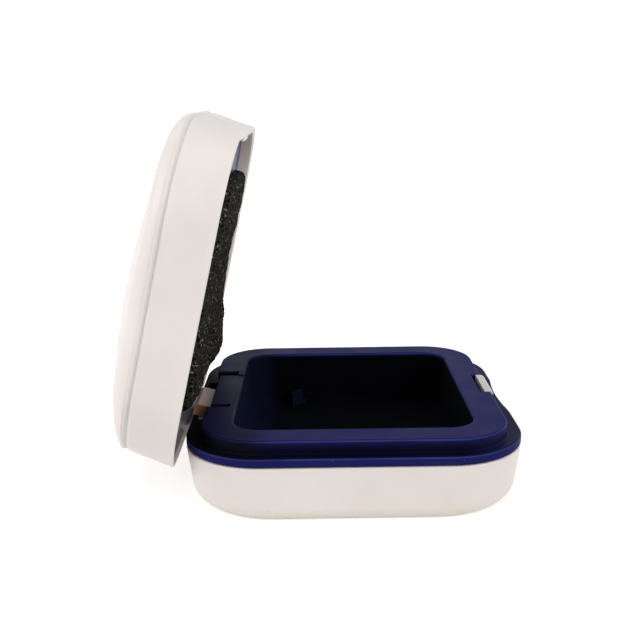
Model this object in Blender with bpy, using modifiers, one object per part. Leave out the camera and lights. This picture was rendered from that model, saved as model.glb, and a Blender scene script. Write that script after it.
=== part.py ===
# Hearing aid case, standing open: a base with an insert tray, and a domed lid hinged on it.
# Metres, +Z up. The hinge is on the -X side, the latch on the +X side, the table at z = 0.
import math

import bmesh
import bpy
from mathutils import Matrix, Vector

for old in list(bpy.data.objects):
    bpy.data.objects.remove(old, do_unlink=True)

# Shared fits and drawing steps
GAP = 0.0003
SLIDE_GAP = 0.0003
OVERRUN = 0.0010
MERGE_DISTANCE = 0.000001
CORNER_STEPS = 8
ROUND_STEPS = 4
BEVEL_ANGLE = math.radians(35)

# Outline of the closed case, seen from above
CASE_HALF_X = 0.0320
CASE_HALF_Y = 0.03325
CASE_CORNER_R = 0.0147

# Base shell
FLANGE_TOP_Z = 0.0128
BAND_H = 0.0016
SHELL_TOP_Z = FLANGE_TOP_Z - BAND_H - GAP
SHELL_WALL = 0.0016
SHELL_DRAFT = 0.0004
SHELL_CORNER_GAIN = 0.0019
SHELL_FOOT_R = 0.0035
SHELL_FLOOR_R = 0.0020
SHELL_LIP_R = 0.0003

# Insert tray, heights measured from the flange top
RIM_IN_X = 0.00305
RIM_IN_Y = 0.0020
RIM_HALF_X = CASE_HALF_X - RIM_IN_X
RIM_HALF_Y = CASE_HALF_Y - RIM_IN_Y
RIM_CORNER_R = 0.01085
RIM_H = 0.0026
RIM_EDGE_R = 0.0005
RIM_WALL = 0.0013
FLANGE_THICK = 0.0012
FLANGE_EDGE_R = 0.0006
MOUTH_IN_X = 0.0092
MOUTH_IN_Y = 0.00815
MOUTH_HALF_X = CASE_HALF_X - MOUTH_IN_X
MOUTH_HALF_Y = CASE_HALF_Y - MOUTH_IN_Y
MOUTH_CORNER_R = 0.0042
MOUTH_EDGE_R = 0.00045
CAVITY_DRAFT = 0.0007
CAVITY_WALL = 0.0012
CAVITY_FLOOR_DROP = 0.0096
CAVITY_FLOOR_R = 0.0020
LIP_THICK = 0.0011
LIP_DROP = 0.0034

# Small stop block at the far left of the cavity floor
BLOCK_FROM_MOUTH = 0.0092
BLOCK_WIDE = 0.0033
BLOCK_LONG = 0.0045
BLOCK_SINK = 0.0001
BLOCK_LEFT_X = BLOCK_FROM_MOUTH - MOUTH_HALF_X
BLOCK_RIGHT_X = BLOCK_LEFT_X + BLOCK_WIDE
BLOCK_BACK_Y = MOUTH_HALF_Y - BLOCK_SINK
BLOCK_FRONT_Y = BLOCK_BACK_Y - BLOCK_LONG
BLOCK_LEFT_DROP = 0.0064
BLOCK_RIGHT_DROP = 0.0054

# Hinge: axis along Y, inside the base
HINGE_IN = 0.0030
HINGE_DROP = 0.00432
HINGE_X = HINGE_IN - CASE_HALF_X
HINGE_Z = FLANGE_TOP_Z - HINGE_DROP
OPEN_ANGLE = math.radians(76.7)
PIN_R = 0.0008
PIN_HALF = 0.0071
PIN_FIT = 0.00005
PIN_SEAT = 0.00003
PIN_SIDES = 24
BARREL_R = 0.00195
ARM_HALF_Y = 0.0057
CHEEK_IN_Y = ARM_HALF_Y + GAP
CHEEK_OUT_Y = 0.0078
CHEEK_LEFT = 0.0019
CHEEK_ROOT_IN = 0.0006
CHEEK_TOP = 0.0021
CHEEK_BOTTOM = 0.0024
POCKET_HALF_Y = 0.0118
POCKET_SPARE = 0.0001
POCKET_RIGHT_X = -MOUTH_HALF_X - CAVITY_WALL - POCKET_SPARE
POCKET_DROP = 0.0040
TONGUE_HALF_Y = 0.0102
TONGUE_TIP_IN = 0.0040
TONGUE_TIP_X = TONGUE_TIP_IN - CASE_HALF_X
TONGUE_BOTTOM = 0.00165
TONGUE_DIP = 0.0002
SLOT_STOP = 0.0014
SLOT_END_X = -MOUTH_HALF_X - SLOT_STOP
WINDOW_HALF_Y = 0.0061
WINDOW_DROP = 0.0070
RELIEF_HALF_Y = 0.0082
RELIEF_DROP = 0.0085
RELIEF_WALL = 0.0008

# Arm outline about the hinge axis with the lid closed: x, z and corner radius
ARM_OUT_X = -0.0027
ARM_IN_X = -0.00035
ARM_ROOT_Z = 0.0070
ARM_FOOT_X = -MOUTH_HALF_X - CAVITY_WALL - GAP - HINGE_X
ARM_FOOT_TOP_Z = 0.0036
ARM_FOOT_LOW_Z = 0.0007
ARM_HEEL_Z = 0.0005
ARM_CHIN_HALF = 0.0010
ARM_FOOT_R = 0.0009
ARM_INNER_R = 0.0012
ARM_HEEL_R = 0.0014
ARM_EDGE = 0.0002

# Lid, heights measured from its rim plane with the lid closed
LID_RIM_Z = FLANGE_TOP_Z + GAP
LID_WALL = 0.0014
LID_DRAFT = 0.0009
BEAK_LOW = -0.0003
BEAK_TOP = 0.0009
GROOVE_N = 0.0094
GROOVE_EDGE_R = 0.00045
LID_RIM_R = 0.00035
CAP_EDGE_R = 0.0003
DOME_FOOT_N = 0.0097
SHOULDER_H = 0.0024
SHOULDER_R = 0.0035
SHOULDER_HINGE_R = 0.0075
CROWN_H = 0.0053
CROWN_SHARES = (0.12, 0.26, 0.42, 0.60, 0.82)
UNDER_SHOULDER_H = 0.0007
UNDER_CROWN_H = 0.0049
CAP_LIP_N = 0.0074
CAP_LIP_THICK = 0.0010
CAP_LIP_TOP_N = 0.0103
LEDGE_IN = 0.0012
LEDGE_TOP_N = 0.0052
LINER_N = 0.0027
LINER_THICK = 0.0012
RELIEF_START = 0.00038
RELIEF_RISE = 0.0012
RELIEF_RUN = 0.0020
LID_RELIEF_HALF_Y = 0.0260
CATCH_FROM_RIM = 0.0002
CATCH_SINK = 0.0012
CATCH_IN_X = RIM_HALF_X + CATCH_FROM_RIM
CATCH_OUT_X = CASE_HALF_X - CATCH_SINK
CATCH_HALF_Y = 0.0063
CATCH_LOW_N = 0.0004
CATCH_TOP_N = 0.00135
LINER_EDGE_R = 0.0002

# Foam pad, lying on the liner
PAD_LEFT_IN = 0.0026
PAD_RIGHT_IN = 0.0005
PAD_SIDE_IN = 0.0026
PAD_LEFT_X = PAD_LEFT_IN - MOUTH_HALF_X
PAD_RIGHT_X = MOUTH_HALF_X - PAD_RIGHT_IN
PAD_HALF_Y = MOUTH_HALF_Y - PAD_SIDE_IN
PAD_CORNER_R = 0.0060
PAD_FLAT_N = 0.00020
PAD_BULGE = 0.00245
PAD_BULGE_IN = 0.0012
PAD_BULGE_X = PAD_LEFT_X + PAD_BULGE_IN
PAD_BULGE_SPREAD = 0.0100
PAD_EDGE_R = 0.0018
PAD_TOP_SHARES = (0.10, 0.22, 0.38, 0.56, 0.76)

# Latch button and its guides in the base
PLATE_IN = 0.00475
PLATE_THICK = 0.0016
PLATE_X = CASE_HALF_X - PLATE_IN
PLATE_HALF_Y = 0.0061
PLATE_DROP = 0.0085
HOOK_RISE = 0.00275
NOSE_LONG = 0.0007
NOSE_X = PLATE_X + PLATE_THICK + NOSE_LONG
NOSE_LOW = 0.0019
NOSE_TIP = 0.0022
PRESS_HALF_Y = 0.0054
PRESS_LOW_DROP = 0.0080
PRESS_TOP_DROP = 0.0034
PRESS_EDGE_R = 0.0004
LATCH_EDGE = 0.0002
POST_R = 0.0009
POST_LONG = 0.0011
POST_SIDES = 16
LATCH_NOTCH_HALF_Y = 0.0066
LATCH_TRAVEL_ROOM = 0.00125
LATCH_NOTCH_OUT_IN = 0.0024
LATCH_NOTCH_IN_X = PLATE_X - LATCH_TRAVEL_ROOM
LATCH_NOTCH_OUT_X = CASE_HALF_X - LATCH_NOTCH_OUT_IN
LATCH_NOTCH_DROP = 0.0025
LIP_CUT_HALF_Y = 0.0084
LIP_CUT_SPARE = 0.0001
LIP_CUT_OUT_X = CASE_HALF_X - SHELL_WALL - LIP_CUT_SPARE
LIP_CUT_DROP = 0.0040
PRESS_WINDOW_GAP = 0.0003
GUIDE_OUT_Y = 0.0080
GUIDE_REACH = 0.00175
GUIDE_SINK = 0.0013
GUIDE_IN_X = PLATE_X - GUIDE_REACH
GUIDE_WALL_X = CASE_HALF_X - GUIDE_SINK
GUIDE_TOP_DROP = 0.0038
STOP_IN_Y = PRESS_HALF_Y + PRESS_WINDOW_GAP
SEAT_REACH = 0.00105
SEAT_IN_X = PLATE_X - SEAT_REACH

# Thumb scoop over the latch
SCOOP_DEPTH = 0.0007
SCOOP_HALF_Y = 0.0115
SCOOP_DROP = 0.0090
SCOOP_SIDES = 240

# Latch spring, lying along X behind the press face
SPRING_COIL_R = 0.00133
SPRING_WIRE_R = 0.00017
SPRING_TURNS = 4.5
SPRING_STEPS = 12
SPRING_DROP = 0.0057

SHELL_WHITE = (0.79, 0.75, 0.70)
TRAY_NAVY = (0.012, 0.012, 0.10)
LINER_VIOLET = (0.10, 0.09, 0.20)
FOAM_GREY = (0.035, 0.035, 0.03)
LATCH_IVORY = (0.60, 0.57, 0.49)
STEEL = (0.60, 0.60, 0.62)


def make_collection(name):
    """A collection linked to the scene."""
    group = bpy.data.collections.new(name)
    bpy.context.scene.collection.children.link(group)
    return group


PARTS = make_collection("hearing_aid_case")
CUTTERS = make_collection("cutters")


def paint(obj, color, roughness, metallic=0.0):
    """Give an object its own Principled material."""
    material = bpy.data.materials.new(obj.name + "_finish")
    material.use_nodes = True
    shader = material.node_tree.nodes["Principled BSDF"]
    shader.inputs["Base Color"].default_value = (*color, 1.0)
    shader.inputs["Roughness"].default_value = roughness
    shader.inputs["Metallic"].default_value = metallic
    obj.data.materials.clear()
    obj.data.materials.append(material)


def from_flange(height):
    """World height of a level measured from the flange top."""
    return FLANGE_TOP_Z + height


def ring(half_x, half_y, radius, z, middle_x=0.0):
    """Points of a rounded rectangle at height z, counter-clockwise seen from above."""
    points = []
    for quarter in range(4):
        start = quarter * math.pi / 2
        side_x = 1 if quarter in (0, 3) else -1
        side_y = 1 if quarter in (0, 1) else -1
        for step in range(CORNER_STEPS + 1):
            angle = start + step / CORNER_STEPS * math.pi / 2
            x = side_x * (half_x - radius) + radius * math.cos(angle)
            y = side_y * (half_y - radius) + radius * math.sin(angle)
            points.append(Vector((middle_x + x, y, z)))
    return points


def round_steps():
    """Sideways and upward shares of a quarter round, from its flat end to its upright end."""
    angles = [step / ROUND_STEPS * math.pi / 2 for step in range(ROUND_STEPS + 1)]
    return [(1 - math.sin(angle), 1 - math.cos(angle)) for angle in angles]


def link(mesh, name, group):
    """Put a mesh in the scene as a named object."""
    obj = bpy.data.objects.new(name, mesh)
    group.objects.link(obj)
    return obj


def loft(name, rings, group=PARTS, ring_shut=False):
    """Closed solid through a stack of rings of equal count, capped or joined end to end."""
    form = bmesh.new()
    rows = [[form.verts.new(point) for point in points] for points in rings]
    count = len(rows[0])
    pairs = list(zip(rows, rows[1:]))
    if ring_shut:
        pairs.append((rows[-1], rows[0]))
    else:
        form.faces.new(reversed(rows[0]))
        form.faces.new(rows[-1])
    for low, high in pairs:
        for index in range(count):
            after = (index + 1) % count
            form.faces.new((low[index], low[after], high[after], high[index]))
    bmesh.ops.recalc_face_normals(form, faces=form.faces)
    mesh = bpy.data.meshes.new(name)
    form.to_mesh(mesh)
    form.free()
    mesh.shade_smooth()
    mesh.set_sharp_from_angle(angle=BEVEL_ANGLE)
    return link(mesh, name, group)


def box(name, low, high, group=CUTTERS):
    """Box between two opposite corners."""
    low = Vector(low)
    high = Vector(high)
    form = bmesh.new()
    bmesh.ops.create_cube(form, size=1.0)
    bmesh.ops.scale(form, vec=high - low, verts=form.verts)
    mesh = bpy.data.meshes.new(name)
    form.to_mesh(mesh)
    form.free()
    obj = link(mesh, name, group)
    obj.location = (low + high) / 2
    return obj


def rod(name, radius, low, high, sides, group=CUTTERS):
    """Round rod between two points."""
    low = Vector(low)
    high = Vector(high)
    form = bmesh.new()
    bmesh.ops.create_cone(
        form, cap_ends=True, segments=sides, radius1=radius, radius2=radius, depth=(high - low).length
    )
    mesh = bpy.data.meshes.new(name)
    form.to_mesh(mesh)
    form.free()
    mesh.shade_smooth()
    mesh.set_sharp_from_angle(angle=BEVEL_ANGLE)
    obj = link(mesh, name, group)
    obj.location = (low + high) / 2
    obj.rotation_euler = (high - low).to_track_quat("Z", "Y").to_euler()
    return obj


def rounded(corners):
    """Outline points through corners given as x, z and radius."""
    points = []
    for index, (x, z, radius) in enumerate(corners):
        here = Vector((x, z))
        if not radius:
            points.append(here)
            continue
        before = (Vector(corners[index - 1][:2]) - here).normalized()
        after = (Vector(corners[(index + 1) % len(corners)][:2]) - here).normalized()
        half = before.angle(after) / 2
        middle = here + (before + after).normalized() * radius / math.sin(half)
        start = here + before * radius / math.tan(half) - middle
        turn = math.atan2(start.cross(here - middle), start.dot(here - middle)) * 2
        for step in range(ROUND_STEPS + 1):
            spin = Matrix.Rotation(turn * step / ROUND_STEPS, 2)
            points.append(middle + spin @ start)
    return points


def side_plate(name, outline, half_y, group=CUTTERS):
    """Plate cut to an outline in X and Z, reaching half_y to each side of the middle."""
    curve = bpy.data.curves.new(name, "CURVE")
    curve.dimensions = "2D"
    curve.fill_mode = "BOTH"
    curve.extrude = half_y
    line = curve.splines.new("POLY")
    line.points.add(len(outline) - 1)
    for point, (x, z) in zip(line.points, outline):
        point.co = (x, z, 0, 1)
    line.use_cyclic_u = True
    guide = link(curve, name + "_guide", group)
    guide.rotation_euler.x = math.pi / 2
    bpy.context.view_layer.update()
    source = guide.evaluated_get(bpy.context.evaluated_depsgraph_get())
    mesh = bpy.data.meshes.new_from_object(source)
    obj = link(mesh, name, group)
    obj.matrix_world = guide.matrix_world.copy()
    bpy.data.objects.remove(guide, do_unlink=True)
    form = bmesh.new()
    form.from_mesh(mesh)
    bmesh.ops.remove_doubles(form, verts=form.verts, dist=MERGE_DISTANCE)
    bmesh.ops.recalc_face_normals(form, faces=form.faces)
    form.to_mesh(mesh)
    form.free()
    return obj


def combine(obj, tool, operation):
    """Boolean of one object with a tool object, kept as an exact modifier."""
    tool.hide_render = True
    tool.display_type = "WIRE"
    change = obj.modifiers.new(tool.name, "BOOLEAN")
    change.operation = operation
    change.solver = "EXACT"
    change.object = tool


def cut(obj, *tools):
    """Take tool objects out of an object."""
    for tool in tools:
        combine(obj, tool, "DIFFERENCE")


def join(obj, *tools):
    """Grow tool objects onto an object."""
    for tool in tools:
        combine(obj, tool, "UNION")


def soften(obj, width):
    """Small round along the object's sharp edges."""
    edge = obj.modifiers.new("edge", "BEVEL")
    edge.width = width
    edge.segments = 2
    edge.limit_method = "ANGLE"
    edge.angle_limit = BEVEL_ANGLE


def base_ring(z, inset):
    """Outline of the drafted base wall at world height z, moved in by inset."""
    fall = 1 - z / SHELL_TOP_Z
    half_x = CASE_HALF_X - SHELL_DRAFT * fall - inset
    half_y = CASE_HALF_Y - SHELL_DRAFT * fall - inset
    return ring(half_x, half_y, CASE_CORNER_R + SHELL_CORNER_GAIN * fall - inset, z)


def scoop_cutter(name):
    """Wide upright cylinder that leaves a thumb scoop, deepest at the flange top."""
    radius = (SCOOP_HALF_Y**2 + SCOOP_DEPTH**2) / (2 * SCOOP_DEPTH)
    lean = math.atan(SCOOP_DEPTH / SCOOP_DROP)
    middle_x = CASE_HALF_X - SCOOP_DEPTH + radius
    top = Vector((-math.sin(lean), 0, math.cos(lean)))
    middle = Vector((middle_x, 0, FLANGE_TOP_Z))
    return rod(name, radius, middle - top * SCOOP_DROP, middle + top * SCOOP_DROP, SCOOP_SIDES)


def build_base_shell():
    """Outer shell of the base, open at the hinge and at the press face."""
    rings = [base_ring(up * SHELL_FOOT_R, side * SHELL_FOOT_R) for side, up in round_steps()]
    rings += [
        base_ring(SHELL_TOP_Z - SHELL_LIP_R, 0),
        base_ring(SHELL_TOP_Z, SHELL_LIP_R),
        base_ring(SHELL_TOP_Z, SHELL_WALL),
    ]
    inner = [
        base_ring(SHELL_WALL + up * SHELL_FLOOR_R, SHELL_WALL + side * SHELL_FLOOR_R)
        for side, up in round_steps()
    ]
    rings += reversed(inner)
    shell = loft("base_shell", rings)
    wall_in_x = CASE_HALF_X - SHELL_WALL - SHELL_DRAFT
    floor_z = SHELL_WALL - GAP
    seat_z = from_flange(-PLATE_DROP) - SLIDE_GAP
    guide_z = from_flange(-GUIDE_TOP_DROP)
    guide_in_y = PLATE_HALF_Y + SLIDE_GAP
    stop_x = PLATE_X + PLATE_THICK + SLIDE_GAP
    join(shell, box("latch_seat", (SEAT_IN_X, -guide_in_y, floor_z), (GUIDE_WALL_X, guide_in_y, seat_z)))
    for side in (-1, 1):
        near = sorted((side * guide_in_y, side * GUIDE_OUT_Y))
        stop = sorted((side * STOP_IN_Y, side * GUIDE_OUT_Y))
        guide_low = (GUIDE_IN_X, near[0], floor_z)
        stop_low = (stop_x, stop[0], floor_z)
        join(shell, box("latch_guide", guide_low, (GUIDE_WALL_X, near[1], guide_z)))
        join(shell, box("latch_stop", stop_low, (GUIDE_WALL_X, stop[1], guide_z)))
    window_top = from_flange(-PRESS_TOP_DROP) + PRESS_WINDOW_GAP
    window_low = from_flange(-PRESS_LOW_DROP) - PRESS_WINDOW_GAP
    window_y = PRESS_HALF_Y + PRESS_WINDOW_GAP
    press_window = box(
        "press_window",
        (wall_in_x - SHELL_DRAFT, -window_y, window_low),
        (CASE_HALF_X + OVERRUN, window_y, window_top),
    )
    hinge_window = box(
        "hinge_window",
        (-CASE_HALF_X - OVERRUN, -WINDOW_HALF_Y, from_flange(-WINDOW_DROP)),
        (-wall_in_x + OVERRUN, WINDOW_HALF_Y, FLANGE_TOP_Z),
    )
    hinge_relief = box(
        "hinge_relief",
        (-CASE_HALF_X + RELIEF_WALL, -RELIEF_HALF_Y, from_flange(-RELIEF_DROP)),
        (-wall_in_x + OVERRUN, RELIEF_HALF_Y, FLANGE_TOP_Z),
    )
    cut(shell, press_window, hinge_window, hinge_relief, scoop_cutter("shell_scoop"))
    paint(shell, SHELL_WHITE, 0.38)


def cavity_ring(z, grow):
    """Outline of the drafted cavity at height z from the flange top, moved out by grow."""
    fall = (RIM_H - z) / (RIM_H + CAVITY_FLOOR_DROP)
    half_x = MOUTH_HALF_X - CAVITY_DRAFT * fall + grow
    half_y = MOUTH_HALF_Y - CAVITY_DRAFT * fall + grow
    return ring(half_x, half_y, MOUTH_CORNER_R + grow, from_flange(z))


def rim_ring(z, inset):
    """Outline of the raised rim at height z from the flange top, moved in by inset."""
    return ring(RIM_HALF_X - inset, RIM_HALF_Y - inset, RIM_CORNER_R - inset, from_flange(z))


def flange_ring(z, inset):
    """Outline of the flange at height z from the flange top, moved in by inset."""
    return ring(CASE_HALF_X - inset, CASE_HALF_Y - inset, CASE_CORNER_R - inset, from_flange(z))


def tray_rings():
    """Section of the tray: out along its underside, up its edges and back over the rim."""
    floor_low = -CAVITY_FLOOR_DROP - CAVITY_WALL
    floor_r = CAVITY_FLOOR_R + CAVITY_WALL
    core_top = RIM_H - RIM_WALL
    lip_z = from_flange(-LIP_DROP)
    lip_out = SHELL_WALL + GAP
    steps = round_steps()
    rings = [cavity_ring(floor_low + up * floor_r, CAVITY_WALL - side * floor_r) for side, up in steps]
    rings += [
        cavity_ring(core_top, CAVITY_WALL),
        rim_ring(core_top, RIM_WALL),
        rim_ring(-FLANGE_THICK, RIM_WALL),
        flange_ring(-FLANGE_THICK, lip_out + LIP_THICK),
        base_ring(lip_z, lip_out + LIP_THICK),
        base_ring(lip_z, lip_out),
        base_ring(from_flange(-BAND_H), lip_out),
        flange_ring(-BAND_H, SHELL_LIP_R),
        flange_ring(SHELL_LIP_R - BAND_H, 0),
    ]
    rings += [flange_ring(-FLANGE_EDGE_R * side, FLANGE_EDGE_R * up) for side, up in steps]
    rings.append(rim_ring(0, 0))
    rings += [rim_ring(RIM_H - RIM_EDGE_R * side, RIM_EDGE_R * up) for side, up in steps]
    rings += [cavity_ring(RIM_H - MOUTH_EDGE_R * up, MOUTH_EDGE_R * side) for side, up in steps]
    rings += [
        cavity_ring(CAVITY_FLOOR_R * up - CAVITY_FLOOR_DROP, -CAVITY_FLOOR_R * side)
        for side, up in steps[::-1]
    ]
    return rings


def stop_block():
    """Small block with a sloping top that stands on the cavity floor."""
    low_z = from_flange(-CAVITY_FLOOR_DROP) - GAP
    outline = [
        (BLOCK_LEFT_X, low_z),
        (BLOCK_RIGHT_X, low_z),
        (BLOCK_RIGHT_X, from_flange(-BLOCK_RIGHT_DROP)),
        (BLOCK_LEFT_X, from_flange(-BLOCK_LEFT_DROP)),
    ]
    block = side_plate("stop_block", outline, (BLOCK_BACK_Y - BLOCK_FRONT_Y) / 2)
    block.location.y = (BLOCK_BACK_Y + BLOCK_FRONT_Y) / 2
    return block


def build_tray():
    """Insert tray: band, flange, rim, cavity, leaf tongue and the cheeks that hold the hinge pin."""
    tray = loft("tray", tray_rings())
    left_x = -CASE_HALF_X - OVERRUN
    above = from_flange(RIM_H) + OVERRUN
    pocket = box(
        "hinge_pocket",
        (left_x, -POCKET_HALF_Y, from_flange(-POCKET_DROP)),
        (POCKET_RIGHT_X, POCKET_HALF_Y, from_flange(TONGUE_BOTTOM)),
    )
    front = box(
        "tongue_front",
        (left_x, -POCKET_HALF_Y, from_flange(0)),
        (TONGUE_TIP_X, POCKET_HALF_Y, above),
    )
    dip = box(
        "tongue_dip",
        (TONGUE_TIP_X - OVERRUN, -TONGUE_HALF_Y, from_flange(RIM_H - TONGUE_DIP)),
        (-MOUTH_HALF_X + OVERRUN, TONGUE_HALF_Y, above),
    )
    cut(tray, pocket, front, dip)
    for side in (-1, 1):
        near, far = sorted((side * TONGUE_HALF_Y, side * POCKET_HALF_Y))
        cut(tray, box("tongue_slot", (left_x, near, from_flange(0)), (SLOT_END_X, far, above)))
        near, far = sorted((side * CHEEK_IN_Y, side * CHEEK_OUT_Y))
        low = (HINGE_X - CHEEK_LEFT, near, HINGE_Z - CHEEK_BOTTOM)
        high = (-MOUTH_HALF_X - CHEEK_ROOT_IN, far, HINGE_Z + CHEEK_TOP)
        cheek = box("pin_cheek", low, high)
        soften(cheek, ARM_EDGE)
        join(tray, cheek)
    bore_r = PIN_R + PIN_SEAT
    bore_half = Vector((0, PIN_HALF + PIN_SEAT, 0))
    axis = Vector((HINGE_X, 0, HINGE_Z))
    cut(tray, rod("cheek_bore", bore_r, axis - bore_half, axis + bore_half, PIN_SIDES))
    notch = box(
        "latch_notch",
        (LATCH_NOTCH_IN_X, -LATCH_NOTCH_HALF_Y, from_flange(-LATCH_NOTCH_DROP)),
        (LATCH_NOTCH_OUT_X, LATCH_NOTCH_HALF_Y, above),
    )
    lip_cut = box(
        "lip_cut",
        (LATCH_NOTCH_IN_X, -LIP_CUT_HALF_Y, from_flange(-LIP_CUT_DROP)),
        (LIP_CUT_OUT_X, LIP_CUT_HALF_Y, from_flange(-FLANGE_THICK)),
    )
    cut(tray, notch, lip_cut, scoop_cutter("tray_scoop"))
    join(tray, stop_block())
    paint(tray, TRAY_NAVY, 0.35)


def build_hinge_pin():
    """Steel pin through both cheeks and the arm."""
    axis = Vector((HINGE_X, 0, HINGE_Z))
    half = Vector((0, PIN_HALF, 0))
    pin = rod("hinge_pin", PIN_R, axis - half, axis + half, PIN_SIDES, PARTS)
    paint(pin, STEEL, 0.25, 1.0)


def lid_outline(n, inset, z, left=1.0, hinge_in=0.0):
    """Outline of the lid at wall height n: drafted, but leaning out over the thumb at the latch end."""
    climb = n / GROOVE_N
    hinge_x = CASE_HALF_X - LID_DRAFT * climb - inset - hinge_in
    latch_x = CASE_HALF_X + BEAK_LOW + (BEAK_TOP - BEAK_LOW) * climb - inset
    half_x = (latch_x + hinge_x) / 2
    half_y = CASE_HALF_Y - LID_DRAFT * climb - inset
    radius = (CASE_CORNER_R - inset) * left
    return ring(half_x * left, half_y * left, radius, z, (latch_x - hinge_x) / 2)


def lid_ring(n, inset):
    """Outline of the lid's side wall at height n over its rim plane, moved in by inset."""
    return lid_outline(n, inset, LID_RIM_Z + n)


def arm_outline():
    """Side view of the hinge arm with the lid closed, in X and Z about the hinge axis."""
    corners = [
        (ARM_OUT_X, ARM_ROOT_Z, 0),
        (ARM_OUT_X, ARM_HEEL_Z, ARM_HEEL_R),
        (-ARM_CHIN_HALF, -BARREL_R, ARM_INNER_R),
        (ARM_CHIN_HALF, -BARREL_R, ARM_INNER_R),
        (ARM_FOOT_X, ARM_FOOT_LOW_Z, ARM_FOOT_R),
        (ARM_FOOT_X, ARM_FOOT_TOP_Z, ARM_FOOT_R),
        (ARM_IN_X, ARM_FOOT_TOP_Z, ARM_INNER_R),
        (ARM_IN_X, ARM_ROOT_Z, 0),
    ]
    return [(HINGE_X + x, HINGE_Z + z) for x, z in rounded(corners)]


def build_lid_frame():
    """Side wall of the lid with its liner ledge, catch rib and hinge arm."""
    rim_edge = [lid_ring(LID_RIM_R * up, LID_RIM_R * side) for side, up in round_steps()]
    groove_edge = [
        lid_ring(GROOVE_N - GAP / 2 - GROOVE_EDGE_R * side, GROOVE_EDGE_R * up)
        for side, up in round_steps()
    ]
    inner = [
        lid_ring(GROOVE_N - GAP / 2, LID_WALL),
        lid_ring(LEDGE_TOP_N, LID_WALL),
        lid_ring(LEDGE_TOP_N, LID_WALL + LEDGE_IN),
        lid_ring(LINER_N + LINER_THICK + GAP, LID_WALL + LEDGE_IN),
        lid_ring(LINER_N + LINER_THICK + GAP, LID_WALL),
        lid_ring(0, LID_WALL),
    ]
    frame = loft("lid_frame", rim_edge + groove_edge + inner, ring_shut=True)
    relief_x = RELIEF_START - CASE_HALF_X
    relief = [
        (relief_x, LID_RIM_Z),
        (relief_x, LID_RIM_Z - OVERRUN),
        (relief_x + RELIEF_RUN, LID_RIM_Z - OVERRUN),
        (relief_x + RELIEF_RUN, LID_RIM_Z + RELIEF_RISE),
    ]
    cut(frame, side_plate("lid_relief", relief, LID_RELIEF_HALF_Y))
    catch = box(
        "catch_rib",
        (CATCH_IN_X, -CATCH_HALF_Y, LID_RIM_Z + CATCH_LOW_N),
        (CATCH_OUT_X, CATCH_HALF_Y, LID_RIM_Z + CATCH_TOP_N),
    )
    arm = side_plate("hinge_arm", arm_outline(), ARM_HALF_Y)
    soften(arm, ARM_EDGE)
    join(frame, catch, arm)
    bore_half = Vector((0, ARM_HALF_Y + OVERRUN, 0))
    axis = Vector((HINGE_X, 0, HINGE_Z))
    cut(frame, rod("arm_bore", PIN_R + PIN_FIT, axis - bore_half, axis + bore_half, PIN_SIDES))
    paint(frame, SHELL_WHITE, 0.38)
    return frame


def dome_rings(edge_in, foot_n, shoulder_h, crown_h):
    """Rings of a dome from its edge to near its middle: a quick shoulder, then a slow crown."""
    foot = lid_outline(GROOVE_N, edge_in, LID_RIM_Z + foot_n)
    middle_x = (max(point.x for point in foot) + min(point.x for point in foot)) / 2
    half_x = max(point.x for point in foot) - middle_x
    half_y = max(point.y for point in foot)
    stages = [(up, 1.0, 1 - side) for side, up in round_steps()[1:]]
    stages += [(1.0, 1 - share, 1.0) for share in CROWN_SHARES]
    rings = []
    for part, left, level in stages:
        inset = edge_in + SHOULDER_R * part
        hinge_in = (SHOULDER_HINGE_R - SHOULDER_R) * part
        points = lid_outline(GROOVE_N, inset, LID_RIM_Z + foot_n, left, hinge_in)
        for point in points:
            crown = (1 - ((point.x - middle_x) / half_x) ** 2) * (1 - (point.y / half_y) ** 2)
            point.z += level * (shoulder_h + crown_h * crown)
        rings.append(points)
    return rings


def build_lid_cap():
    """Domed outer face of the lid, with a lip that plugs into the frame."""
    low_n = GROOVE_N + GAP / 2
    lip_in = LID_WALL + GAP
    under_in = lip_in + CAP_LIP_THICK
    rings = dome_rings(0, DOME_FOOT_N, SHOULDER_H, CROWN_H)[::-1]
    rings += [lid_ring(low_n + CAP_EDGE_R * up, CAP_EDGE_R * side) for side, up in round_steps()[::-1]]
    rings += [
        lid_ring(low_n, lip_in),
        lid_ring(CAP_LIP_N, lip_in),
        lid_ring(CAP_LIP_N, under_in),
        lid_ring(GROOVE_N, under_in),
        lid_outline(GROOVE_N, under_in, LID_RIM_Z + CAP_LIP_TOP_N),
    ]
    rings += dome_rings(under_in, CAP_LIP_TOP_N, UNDER_SHOULDER_H, UNDER_CROWN_H)
    cap = loft("lid_cap", rings)
    paint(cap, SHELL_WHITE, 0.38)
    return cap


def build_lid_liner():
    """Flat plate behind the foam, resting on the frame's ledge."""
    inset = LID_WALL + GAP
    rings = [lid_ring(LINER_N, inset), lid_ring(LINER_N + LINER_THICK, inset)]
    liner = loft("lid_liner", rings)
    soften(liner, LINER_EDGE_R)
    paint(liner, LINER_VIOLET, 0.45)
    return liner


def pad_face(x):
    """Height over the rim plane of the foam's face, which stands proud near the hinge."""
    return PAD_FLAT_N - PAD_BULGE * math.exp(-(((x - PAD_BULGE_X) / PAD_BULGE_SPREAD) ** 2))


def pad_ring(back_n, share, inset, middle_x, half_x):
    """Ring of the pad, a share of the way from its back to its face."""
    points = ring(half_x - inset, PAD_HALF_Y - inset, max(PAD_CORNER_R - inset, GAP), 0, middle_x)
    for point in points:
        point.z = LID_RIM_Z + back_n + (pad_face(point.x) - back_n) * share
    return points


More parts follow.
